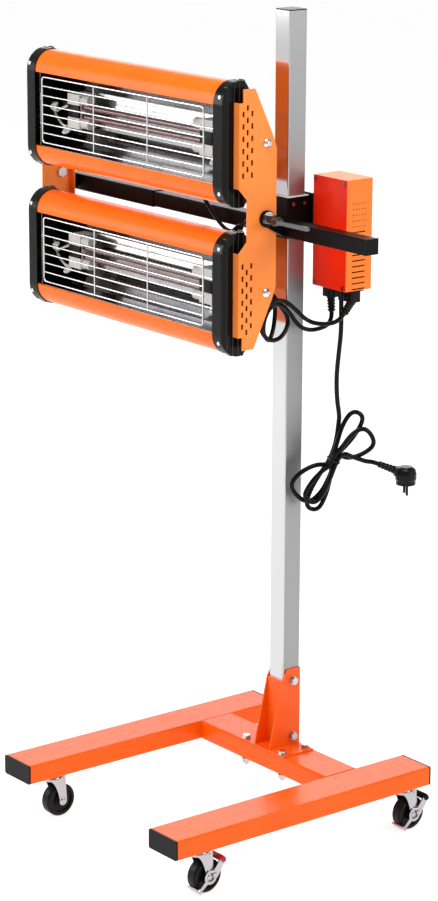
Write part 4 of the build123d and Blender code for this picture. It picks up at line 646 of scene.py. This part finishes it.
# Points between the ends of each lead, in the building frame. The link lead's y and z
# count from the tilt axis.
LEAD_A = (
    (28.0, 427.0, 930.0),
    (31.5, 407.0, 910.5),
    (36.0, 377.0, 910.5),
    (38.0, 355.5, 932.0),
    (39.8, 355.5, 962.0),
    (41.5, 377.0, 984.0),
    (45.5, 403.0, 984.0),
    (46.0, 430.0, 963.0),
    (47.5, 448.0, 945.0),
    (58.0, 466.0, 934.0),
)
LEAD_B = (
    (15.5, 405.0, 932.0),
    (20.0, 393.0, 909.5),
    (25.0, 382.0, 908.5),
    (30.5, 366.5, 928.0),
    (35.3, 367.5, 957.0),
    (36.2, 382.0, 975.5),
    (36.8, 403.0, 975.5),
    (37.0, 423.0, 957.0),
    (37.5, 436.0, 938.0),
    (40.0, 452.0, 924.0),
    (46.0, 474.0, 919.5),
)
LINK = (
    (-146.7, 12.2, 10.6),
    (-138.0, 14.0, -0.5),
    (-122.0, 16.5, -18.0),
    (-102.0, 18.0, -35.0),
    (-82.0, 19.0, -43.5),
    (-62.0, 21.0, -40.0),
    (-46.5, 23.0, -29.2),
    (-33.8, 22.8, -19.4),
    (-27.3, 19.3, -16.3),
    (-22.0, 13.4, -15.8),
)


# Each lamp lead: its boot's x, its straight run from there, its plug, the points between, its length, and the
# start and end of a stretch of it.
LAMP_LEADS = {
    "lamp_lead_a": (25.0, 35.4, 1, LEAD_A, 0.366, ((46.0, 400.0, 950.0), (27.0, 400.0, 950.0))),
    "lamp_lead_b": (12.4, 10.0, 0, LEAD_B, 0.334, ((30.0, 425.0, 935.0), (12.4, 403.4, 977.4))),
}


def plug_top(plug):
    """Where the boot of the left (0) or right (1) plug starts."""
    return np.array([BOX_X + (PLUG_OFFSET if plug else -PLUG_OFFSET), BOX_Y, BOX_BOTTOM - PLUG_DROP])


def lead_route(boot_x, first_run, plug, middle):
    """A lamp lead from its boot on the lower cassette to its plug's boot."""
    start = np.array([boot_x, *BOOT_FOOT]) + BOOT_AIM * BOOT_LENGTH
    second = start + BOOT_AIM * first_run
    tip = plug_top(plug) + PLUG_AIM[plug] * PLUG_BOOT
    return [tuple(start), tuple(second), *middle, tuple(tip + PLUG_AIM[plug] * PLUG_RUN), tuple(tip)]


def link_route():
    """The lead between the cassettes, from gland to gland, square to their sloping backs."""
    run, fall = BACK_SLOPE
    length = math.hypot(run, fall)
    aim = np.array([0.0, fall / length, run / length])
    rise = CAP_HALF - 10.0 * fall / run
    gland, first_run = 30.0 - 2.1, 8.5
    ends = []
    for z, sign, x in ((CASSETTE_Z[0], -1, -150.0), (CASSETTE_Z[1], 1, -19.0)):
        direction = aim * (1, 1, sign)
        tip = np.array([x, PIVOT[0] - 26.0, z + sign * rise]) + direction * gland
        ends.append((tip, tip + direction * first_run))
    middle = [(x, PIVOT[0] + y, PIVOT[1] + z) for x, y, z in LINK]
    return [tuple(ends[0][0]), tuple(ends[0][1]), *middle, tuple(ends[1][1]), tuple(ends[1][0])]


def lead_curve(name, route, diameter, body, nodes):
    """A lead as one smooth spline with the route's points as its control points."""
    data = bpy.data.curves.new(name, "CURVE")
    data.dimensions = "3D"
    spline = data.splines.new("NURBS")
    points = model(route)
    spline.points.add(len(points) - 1)
    spline.points.foreach_set("co", np.concatenate([points, np.ones((len(points), 1))], axis=1).ravel())
    spline.order_u = 3
    spline.use_endpoint_u = True
    data.resolution_u = 10
    data.bevel_depth = diameter / 2000
    data.bevel_resolution = 5
    data.use_fill_caps = True
    obj = bpy.data.objects.new(name, data)
    bpy.context.scene.collection.objects.link(obj)
    data.materials.append(FINISHES["sheath"])
    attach(obj, body)
    if nodes:
        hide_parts(*nodes)
    return obj


def bent_lead(name, route, diameter, body, other, start, end):
    """A lead as a tube along the route's spline.

    P(i, a) = p_i + r (cos a n_i + sin a b_i), with the frame carried along the
    spline's own points without twist.
    """
    curve = lead_curve(name + "_line", route, 0.0, body, ())
    line = bpy.data.meshes.new_from_object(curve)
    path = np.array([v.co for v in line.vertices])
    bpy.data.objects.remove(curve)
    bpy.data.meshes.remove(line)
    tangent = np.gradient(path, axis=0)
    tangent /= np.linalg.norm(tangent, axis=1)[:, None]
    first = [side_frame(tangent[0])[0]]
    for t in tangent[1:]:
        first.append(unit(first[-1] - np.dot(first[-1], t) * t))
    first = np.array(first)
    second = np.cross(tangent, first)
    c, s = ring(16)
    ringed = c[:, None] * first[:, None] + s[:, None] * second[:, None]
    grid = path[:, None] + diameter / 2000 * ringed
    tube = Shape().surface(grid * 1000 - TO_MODEL, round_columns=True)
    tube.lid((grid * 1000 - TO_MODEL)[0], flip=True).lid((grid * 1000 - TO_MODEL)[-1])
    obj = tube.piece(name, None, FINISHES["sheath"], 60.0)
    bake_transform(obj)
    return obj, path


# Operators


def lead_size(name, description, default):
    """A lead's diameter in metres, as a property."""
    return bpy.props.FloatProperty(name=name, description=description, default=default, unit="LENGTH")


def tint(name, description, default):
    """A colour, as a property."""
    return bpy.props.FloatVectorProperty(name=name, description=description, default=default, subtype="COLOR")


class LampSizes(bpy.types.PropertyGroup):
    """Sizes that a user may change."""

    mains_lead: lead_size("Mains lead", "Diameter of the mains lead", 0.0085)
    lamp_lead: lead_size("Lamp leads", "Diameter of the two lamp leads", 0.008)
    link_lead: lead_size("Link lead", "Diameter of the lead between the cassettes", 0.007)


class LampColours(bpy.types.PropertyGroup):
    """Colours that a user may change."""

    orange: tint("Base orange", "Powder coat of the base", (0.94, 0.113, 0.003))
    head_orange: tint("Head orange", "Powder coat of the head", (0.96, 0.145, 0.004))
    # Painted sheen: a lighter, yellower copy of the head orange, standing in for the sheen on the plates' +x
    # faces.
    plate_orange: tint("Plate orange", "Powder coat of the side plates", (0.96, 0.25, 0.04))
    # Painted shade: this red is a darker, redder copy of the shell orange, standing in for the shade on the
    # box's front.
    red: tint("Box red", "Powder coat of the control box's cover", (0.94, 0.023, 0.003))
    shell_orange: tint("Shell orange", "Powder coat of the control box's shell", (0.92, 0.2, 0.03))
    steel: tint("Post steel", "Plating of the post", (0.54, 0.54, 0.545))
    black: tint("Black", "Moulded black parts", (0.008, 0.008, 0.009))


class LAMP_OT_stage(bpy.types.Operator):
    """Floor, soft lights, pale surroundings and the camera"""

    bl_idname = "lamp.stage"
    bl_label = "Studio"

    def execute(self, context):
        scene = context.scene
        scene.view_settings.view_transform = "Standard"
        floor = bpy.data.meshes.new("floor")
        corners = [(a * FLOOR_HALF, b * FLOOR_HALF, 0.0) for a, b in ((-1, -1), (1, -1), (1, 1), (-1, 1))]
        floor.from_pydata(corners, [], [(0, 1, 2, 3)])
        floor.materials.append(floor_paper("floor_paper"))
        ground = bpy.data.objects.new("floor", floor)
        scene.collection.objects.link(ground)
        world = bpy.data.worlds.new("surroundings")
        scene.world = world
        world.use_nodes = True
        background = world.node_tree.nodes["Background"]
        background.inputs["Color"].default_value = (1.0, 1.0, 1.0, 1.0)
        background.inputs["Strength"].default_value = SURROUNDINGS
        for name, place, aim, size, power in SOFTBOXES:
            light = bpy.data.lights.new(name, "AREA")
            light.energy = power
            light.size = size
            lamp = bpy.data.objects.new(name, light)
            scene.collection.objects.link(lamp)
            lamp.location = place
            lamp.rotation_mode = "QUATERNION"
            lamp.rotation_quaternion = (Vector(aim) - Vector(place)).to_track_quat("-Z", "Y")
        self.camera(scene)
        return {"FINISHED"}

    def camera(self, scene):
        """A long lens with no shift, at the measured place and turn."""
        data = bpy.data.cameras.new("camera")
        data.sensor_fit = "AUTO"
        data.sensor_width = SENSOR
        data.lens = SENSOR * FOCAL / IMAGE_HEIGHT
        data.clip_end = 100.0
        eye = bpy.data.objects.new("camera", data)
        scene.collection.objects.link(eye)
        level = np.array([-math.sin(YAW), math.cos(YAW), 0.0])
        right = np.array([math.cos(YAW), math.sin(YAW), 0.0])
        up = np.array([0.0, 0.0, math.cos(PITCH)]) + level * math.sin(PITCH)
        ahead = level * math.cos(PITCH) - np.array([0.0, 0.0, math.sin(PITCH)])
        side = right * math.cos(ROLL) + up * math.sin(ROLL)
        top = -right * math.sin(ROLL) + up * math.cos(ROLL)
        turn = Matrix(np.stack([side, top, -ahead], axis=1).tolist())
        eye.matrix_world = Matrix.Translation(model(EYE)) @ turn.to_4x4()
        scene.camera = eye


class LAMP_OT_mains_lead(bpy.types.Operator):
    """The mains lead with its tied hank and its tie"""

    bl_idname = "lamp.mains_lead"
    bl_label = "Mains lead"

    def execute(self, context):
        sizes = context.scene.lamp_sizes
        route = mains_route()
        nodes = ("mains_cord_upper", "mains_hank", "mains_cord_lower")
        lead = lead_curve("mains_lead", route, sizes.mains_lead * 1000, "carriage", nodes)
        tie = self.tie()
        return {"FINISHED"}

    def tie(self):
        """A flat band round the waist: P(w, t) = loop(t) at heights w along the lean."""
        slack, thin, tall = 0.6, 0.55, 1.9
        half_s = (HANK_PITCH + CORD_D + slack) / 2 + slack
        half_w = (2 * HANK_PITCH + CORD_D + slack) / 2 + slack
        loop = rounded_box(-half_s, half_s, half_w, 4.8, 9)
        normal = loop_normals(loop)
        section = np.array([(thin, -tall), (thin, tall), (-thin, tall), (-thin, -tall)])
        flat = loop[None] + section[:, 0, None, None] * normal[None]
        e_s = np.array([*(HANK_HEADING * WAIST_LEAN[1]), -WAIST_LEAN[0]])
        e_w = np.array([*HANK_ACROSS, 0.0])
        e_h = np.array([*(HANK_HEADING * WAIST_LEAN[0]), WAIST_LEAN[1]])
        centre = np.array(hank_point(WAIST[0], WAIST[1], 2))
        grid = centre + flat[..., 0:1] * e_s + flat[..., 1:2] * e_w + section[:, 1, None, None] * e_h
        shape = Shape().surface(grid, round_rows=True, round_columns=True)
        obj = shape.piece("cord_tie_band", "carriage", FINISHES["plug_black"], 50.0, "black_plastic")
        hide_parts("cord_tie")
        return obj


class LAMP_OT_lamp_leads(bpy.types.Operator):
    """The two lamp leads, the rings on their plugs' boots and the lead between the cassettes"""

    bl_idname = "lamp.lamp_leads"
    bl_label = "Lamp leads"

    def execute(self, context):
        sizes = context.scene.lamp_sizes
        for name, (boot_x, first_run, plug, middle, length, ends) in LAMP_LEADS.items():
            route = lead_route(boot_x, first_run, plug, middle)
            lead, path = bent_lead(name + "_sheath", route, sizes.lamp_lead * 1000, "carriage", "head", *ends)
            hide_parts(name)
        self.plug_ribs()
        route = link_route()
        lead = lead_curve("link_lead_sheath", route, sizes.link_lead * 1000, "head", ("link_lead",))
        return {"FINISHED"}

    def plug_ribs(self):
        """Raised rings round the two plugs' boots, square to each boot's aim."""
        shape = Shape()
        raised = [(4.0, -1.7), (6.6, -1.5), (7.5, -0.6), (7.5, 0.6), (6.6, 1.5), (4.0, 1.7), (4.0, -1.7)]
        for plug, aim in enumerate(PLUG_AIM):
            for along in (8.0, 13.5, 19.0, 24.5):
                turned(shape, raised, plug_top(plug) + aim * along, aim)
        return shape.piece("lamp_plug_ribs", "carriage", FINISHES["plug_black"], 40.0, "black_plastic")


class LAMP_OT_cassettes(bpy.types.Operator):
    """Ribs of the end caps, and sleeved wires, dark slot covers painted in as shade, and strips in the
    cassettes
    """

    bl_idname = "lamp.cassettes"
    bl_label = "Cassettes"

    def execute(self, context):
        for name, z in zip(("upper", "lower"), CASSETTE_Z):
            for side, end in ((-1, "left"), (1, "right")):
                self.ribs(f"{name}_{end}_ribs", z, side)
                self.curl(f"{name}_{end}_sleeved_wire", z, side)
                # Painted shade: each holder's slot gets a dark cover that stands in for the shade there.
                self.slot_shade_covers(f"{name}_{end}_clips", z, side)
                self.strip(f"{name}_{end}_strip", z, side)
        return {"FINISHED"}

    def rise(self, y):
        """Half height of a cap at a depth y behind the tilt axis.

        Where the front corner rounds off it is the circle h - r + sqrt(r^2 - d^2).
        """
        inner = y - (CAP_CORNER - CAP_FRONT)
        if inner >= 0:
            return CAP_HALF
        return CAP_HALF - CAP_CORNER + math.sqrt(CAP_CORNER**2 - inner**2)

    def ribs(self, name, z, side):
        """Raised ribs that run down a cap's end and curl over its top and bottom.

        Each rib's path is a run along x, a quarter circle of the turn's radius and
        a run along z, mirrored to the bottom.
        """
        shape = Shape()
        t = np.linspace(0, math.pi / 2, 7)
        for y, back in RIBS:
            top = self.rise(y) - RIB_SUNK
            inward = np.array([[-back, top]])
            bend = np.stack([np.sin(t) - 1, np.cos(t) - 1], axis=1) * RIB_TURN + (0, top)
            half = np.concatenate([inward, bend])
            down = np.linspace(half[-1], half[-1] * (1, -1), 12)[1:-1]
            path = np.concatenate([half, down, (half * (1, -1))[::-1]])
            x = HEAD_X + side * (CASSETTE_HALF + path[:, 0])
            points = np.stack([x, np.full(len(path), PIVOT[0] + y), z + path[:, 1]], axis=1)
            tube_path(shape, points, RIB_RADIUS)
        return shape.piece(name, "head", FINISHES["rib_black"], 60.0, "gloss_black")

    def curl(self, name, z, side):
        """Two sleeved wires that leave the holder, coil loosely and go into the cap.

        P(t) = centre + (wide sin t, deep cos 2t, tall cos t), with a slow drift along
        x. Straight runs with a slight sag of sin(pi u) join it to the holder and cap.
        """
        shape = Shape()
        wide, deep, tall, drift = 6.0, 4.0, 7.0, 1.9
        for turn, (lift, drop, phase) in enumerate(((13.0, 3.0, 0.0), (-9.0, -36.0, 1.7))):
            t = np.linspace(0, 3.1 * math.pi, 48)
            x = HEAD_X + side * (CASSETTE_HALF - 42.0 - 26.0 * turn) - side * drift * t / math.pi
            y = PIVOT[0] - 54.0 + 6.0 * turn + deep * np.cos(2 * t)
            middle = np.stack([x + wide * np.sin(t + phase), y, z + drop + tall * np.cos(t + phase)], axis=1)
            holder = np.array([HEAD_X + side * (CASSETTE_HALF - 100.0), PIVOT[0] - 32.0, z + lift])
            cap = np.array([HEAD_X + side * (CASSETTE_HALF - 3.4), PIVOT[0] - 30.0, z + lift * 0.4])
            reach = np.linspace(0, 1, 12)[:, None]
            sag = np.sin(math.pi * reach) * (0, 3.0, 4.0)
            lead_in = holder + (middle[-1] - holder) * reach + sag
            lead_out = middle[0] + (cap - middle[0]) * reach - sag
            path = np.concatenate([lead_out[::-1], middle[1:-1], lead_in[::-1]])
            tube_path(shape, path, SLEEVED_RADIUS)
        return shape.piece(name, "head", FINISHES["sleeving"], 60.0, "ceramic")

    def slot_shade_covers(self, name, z, side):
        """The dark cover in a holder's slot, over the tubes' ends: a painted shade that stands in for the shade
        in the slot.
        """
        edge = CASSETTE_HALF - HOLDER_INSET
        near, far = sorted((side * (edge - 5.0), side * (edge + 30.0)))
        loop = rounded_box(-47.6, -43.4, 11.6, 1.0, 4)
        shape = eased_prism(Shape(), loop, HEAD_X + near, HEAD_X + far, 0.4, across_x((PIVOT[0], z)))
        return shape.piece(name, "head", FINISHES["knob_black"], 40.0, "black_plastic")

    def strip(self, name, z, side):
        """The reflector's bright end flange beside the cap."""
        x = HEAD_X + side * (CASSETTE_HALF - 27.6)

        def place(a, b, w):
            """A loop in (x, z) and a depth along y, as points."""
            return np.stack([a + x, w + PIVOT[0], b + z], axis=-1)

        shape = eased_prism(Shape(), rounded_box(-1.1, 1.1, 68.5, 0.5, 3), -76.4, -73.6, 0.3, place)
        return shape.piece(name, "head", FINISHES["wire_chrome"], 40.0, "reflector_sheet")


# Fork: the three points of its front edge and the two at its back, the foot's radius,
# and the profiles of the crown and of the axle's riveted head, as radius and height.
FORK_EDGE = ((-19.0, 77.0), (-1.0, 75.0), (7.4, 35.0))
FORK_BACK = ((21.0, 77.0), (21.0, 82.5))
FORK_TOP = (-19.0, 82.5)
FORK_FOOT = 8.5
CROWN = (
    (6.3, 79.4),
    (18.5, 79.4),
    (20.8, 76.4),
    (22.6, 75.4),
    (23.0, 76.2),
    (22.6, 80.4),
    (20.4, 83.2),
    (6.3, 83.3),
)
RIVET = ((0.0, -18.3), (4.6, -18.1), (6.0, -17.2), (6.0, -16.4), (4.0, -16.4))

# Brake: its pivot from the axle in y and z, the pivot stud's profile, and how far the
# cover's middle lies from the axle in y and in z.
BRAKE = (9.5, 3.0)
STUD = ((0.0, 14.2), (3.0, 14.2), (3.0, 19.2), (5.0, 19.2), (5.0, 20.0), (3.6, 20.7), (0.0, 20.7))
PEDAL_OUT = 27.0


class LAMP_OT_casters(bpy.types.Operator):
    """Formed caster forks and rounded pedal covers"""

    bl_idname = "lamp.casters"
    bl_label = "Casters"

    def execute(self, context):
        for corner, x, y in CASTERS:
            self.fork(corner, x, y, corner[1] == "r")
        for corner, x, y in CASTERS:
            if corner[1] == "r":
                self.pedal(corner, x, y)
        return {"FINISHED"}

    def fork(self, corner, x, y, braked):
        """Two legs with a curved front edge under a round crown, and the riveted axle.

        The front edge is the curve (1-t)^2 a + 2 t (1-t) b + t^2 c.
        """
        shape = Shape()
        t = np.linspace(0, 1, 12)[:, None]
        a, b, c = np.array(FORK_EDGE)
        front = (1 - t) ** 2 * a + 2 * t * (1 - t) * b + t**2 * c
        turn = np.linspace(math.radians(205), math.radians(360), 12)
        foot = np.stack([AXLE_Y + FORK_FOOT * np.cos(turn), AXLE_Z + FORK_FOOT * np.sin(turn)], axis=1)
        outline = np.concatenate([[FORK_TOP], front, foot, FORK_BACK])
        for side in (-1, 1):
            near, far = sorted((x + side * 14.0, x + side * 16.5))
            eased_prism(shape, outline, near, far, 0.5, across_x((y, 0.0)))
        profile = np.array(CROWN)
        level = np.stack(ring(48), axis=1)
        grid = np.empty((len(CROWN), 48, 3))
        grid[..., :2] = np.array([x, y]) + profile[:, 0, None, None] * level
        grid[..., 2] = profile[:, 1, None]
        shape.surface(grid, round_rows=True, round_columns=True)
        rivet = [*RIVET, *((r, -h) for r, h in reversed(RIVET))]
        turned(shape, rivet, (x, y + AXLE_Y, AXLE_Z), (1, 0, 0))
        if braked:
            pivot = (AXLE_Y + BRAKE[0], AXLE_Z + BRAKE[1])
            lug = np.stack(ring(32), axis=1) * 7.5 + pivot
            eased_prism(shape, lug, x + 14.1, x + 16.4, 0.4, across_x((y, 0.0)))
            turned(shape, STUD, (x, y + pivot[0], pivot[1]), (1, 0, 0), 28)
        obj = shape.piece(f"caster_fork_{corner}_formed", "fork_" + corner, FINISHES["fork_zinc"], 40.0, "zinc")
        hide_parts("caster_fork_" + corner)

    def pedal(self, corner, x, y):
        """A cover with round ends over the lever's tab, tilted with it."""
        loop = rounded_box(-17.5, 23.0, 8.5, 8.3, 10)
        lean = math.sqrt(0.5)
        centre = (x, y + AXLE_Y + PEDAL_OUT, AXLE_Z + PEDAL_OUT)

        def place(a, b, w):
            """A loop in (x, b) and a height w, both turned 45 degrees about x."""
            return np.stack([centre[0] + a, centre[1] + lean * (b + w), centre[2] + lean * (w - b)], axis=-1)

        shape = eased_prism(Shape(), loop, -4.6, 6.4, 5.2, place, 8)
        finish, slot = ("pedal_red", "red_plastic") if corner == "fr" else ("end_black", "black_plastic")
        obj = shape.piece(f"brake_pedal_{corner}_cover", "brake_" + corner, FINISHES[finish], 50.0, slot)
        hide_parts("brake_pedal_" + corner)


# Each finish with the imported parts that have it.
NODE_FINISH = {
    "base_orange": ("left_beam", "right_beam", "crossbeam"),
    "bracket_orange": ("post_bracket",),
    "head_orange": ("upper_housing", "lower_housing"),
    "plate_orange": ("side_plate_right", "side_plate_left"),
    "box_red": ("box_cover",),
    "shell_orange": ("box_shell",),
    "arm_black": ("arm_tube", "yoke_brackets", "slider_sleeve", "box_bracket"),
    "post_chrome": ("post_tube",),
    "zinc": ("m8_bolts", "m8_nuts_washers", "caster_stems", "cassette_spacers"),
    "screw_zinc": ("cap_screws",),
    "small_screws": ("m4_screws",),
    "lever_steel": ("tilt_lever",),
    "chrome": ("pivot_hardware", "cassette_bolts"),
    "wire_chrome": ("grilles",),
    "cap_black": ("cassette_end_caps",),
    "end_black": ("beam_end_caps", "post_cap", "arm_plugs", "lamp_sockets"),
    "plug_black": ("lamp_plugs", "mains_gland", "lead_boots", "mains_plug", "cord_tie"),
    "knob_black": ("height_lock_knob",),
    "liner_white": ("slider_liner", "terminal_block"),
    "reflector": ("reflectors",),
    "ruby": ("quartz_tubes",),
    "ceramic": ("tube_holders",),
    "sheath": ("mains_cord_upper", "mains_hank", "mains_cord_lower", "lamp_lead_a", "lamp_lead_b", "link_lead"),
}

# Edge rounds of the sheet and tube parts, in metres.
EASING = 0.0007
EASED = (
    "left_beam",
    "right_beam",
    "crossbeam",
    "beam_end_caps",
    "box_shell",
    "box_cover",
    "arm_tube",
    "arm_plugs",
)


class LAMP_OT_finishes(bpy.types.Operator):
    """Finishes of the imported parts"""

    bl_idname = "lamp.finishes"
    bl_label = "Finishes"

    def execute(self, context):
        make_finishes(context.scene.lamp_colours)
        wanted = {node: key for key, nodes in NODE_FINISH.items() for node in nodes}
        for corner in ("fl", "fr", "rl", "rr"):
            wanted["caster_fork_" + corner] = "fork_zinc"
            wanted["caster_wheel_" + corner] = "tread"
        for corner, key in (("fr", "pedal_red"), ("rr", "end_black")):
            wanted["brake_lever_" + corner] = "fork_zinc"
            wanted["brake_pedal_" + corner] = key
        for node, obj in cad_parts.items():
            for index in range(len(obj.data.materials)):
                obj.data.materials[index] = FINISHES[wanted[node]]
            if node in EASED:
                self.ease(obj)
        return {"FINISHED"}

    def ease(self, obj):
        """A fine round along the sharp edges of a sheet or tube part."""
        weld = obj.modifiers.new("joined", "WELD")
        weld.merge_threshold = MERGE
        bevel = obj.modifiers.new("eased", "BEVEL")
        bevel.limit_method = "ANGLE"
        bevel.angle_limit = math.radians(50)
        bevel.width = EASING
        bevel.segments = 2
        bevel.harden_normals = True


class LAMP_PT_panel(bpy.types.Panel):
    """Lists the steps in their order"""

    bl_idname = "LAMP_PT_panel"
    bl_label = "Curing lamp"
    bl_space_type = "VIEW_3D"
    bl_region_type = "UI"
    bl_category = "Curing lamp"

    def draw(self, context):
        for group in (context.scene.lamp_sizes, context.scene.lamp_colours):
            for name in group.__annotations__:
                self.layout.prop(group, name)
        for step in STEPS:
            self.layout.operator(step.bl_idname)


STEPS = (
    LAMP_OT_stage,
    LAMP_OT_finishes,
    LAMP_OT_mains_lead,
    LAMP_OT_lamp_leads,
    LAMP_OT_cassettes,
    LAMP_OT_casters,
)
CLASSES = (LampSizes, LampColours, *STEPS, LAMP_PT_panel)


def register():
    for cls in CLASSES:
        bpy.utils.register_class(cls)
    bpy.types.Scene.lamp_sizes = bpy.props.PointerProperty(type=LampSizes)
    bpy.types.Scene.lamp_colours = bpy.props.PointerProperty(type=LampColours)


def unregister():
    del bpy.types.Scene.lamp_colours
    del bpy.types.Scene.lamp_sizes
    for cls in reversed(CLASSES):
        bpy.utils.unregister_class(cls)


def main():
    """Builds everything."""
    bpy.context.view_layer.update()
    register()
    for step in STEPS:
        group, name = step.bl_idname.split(".")
        getattr(getattr(bpy.ops, group), name)()


if __name__ == "__main__":
    main()
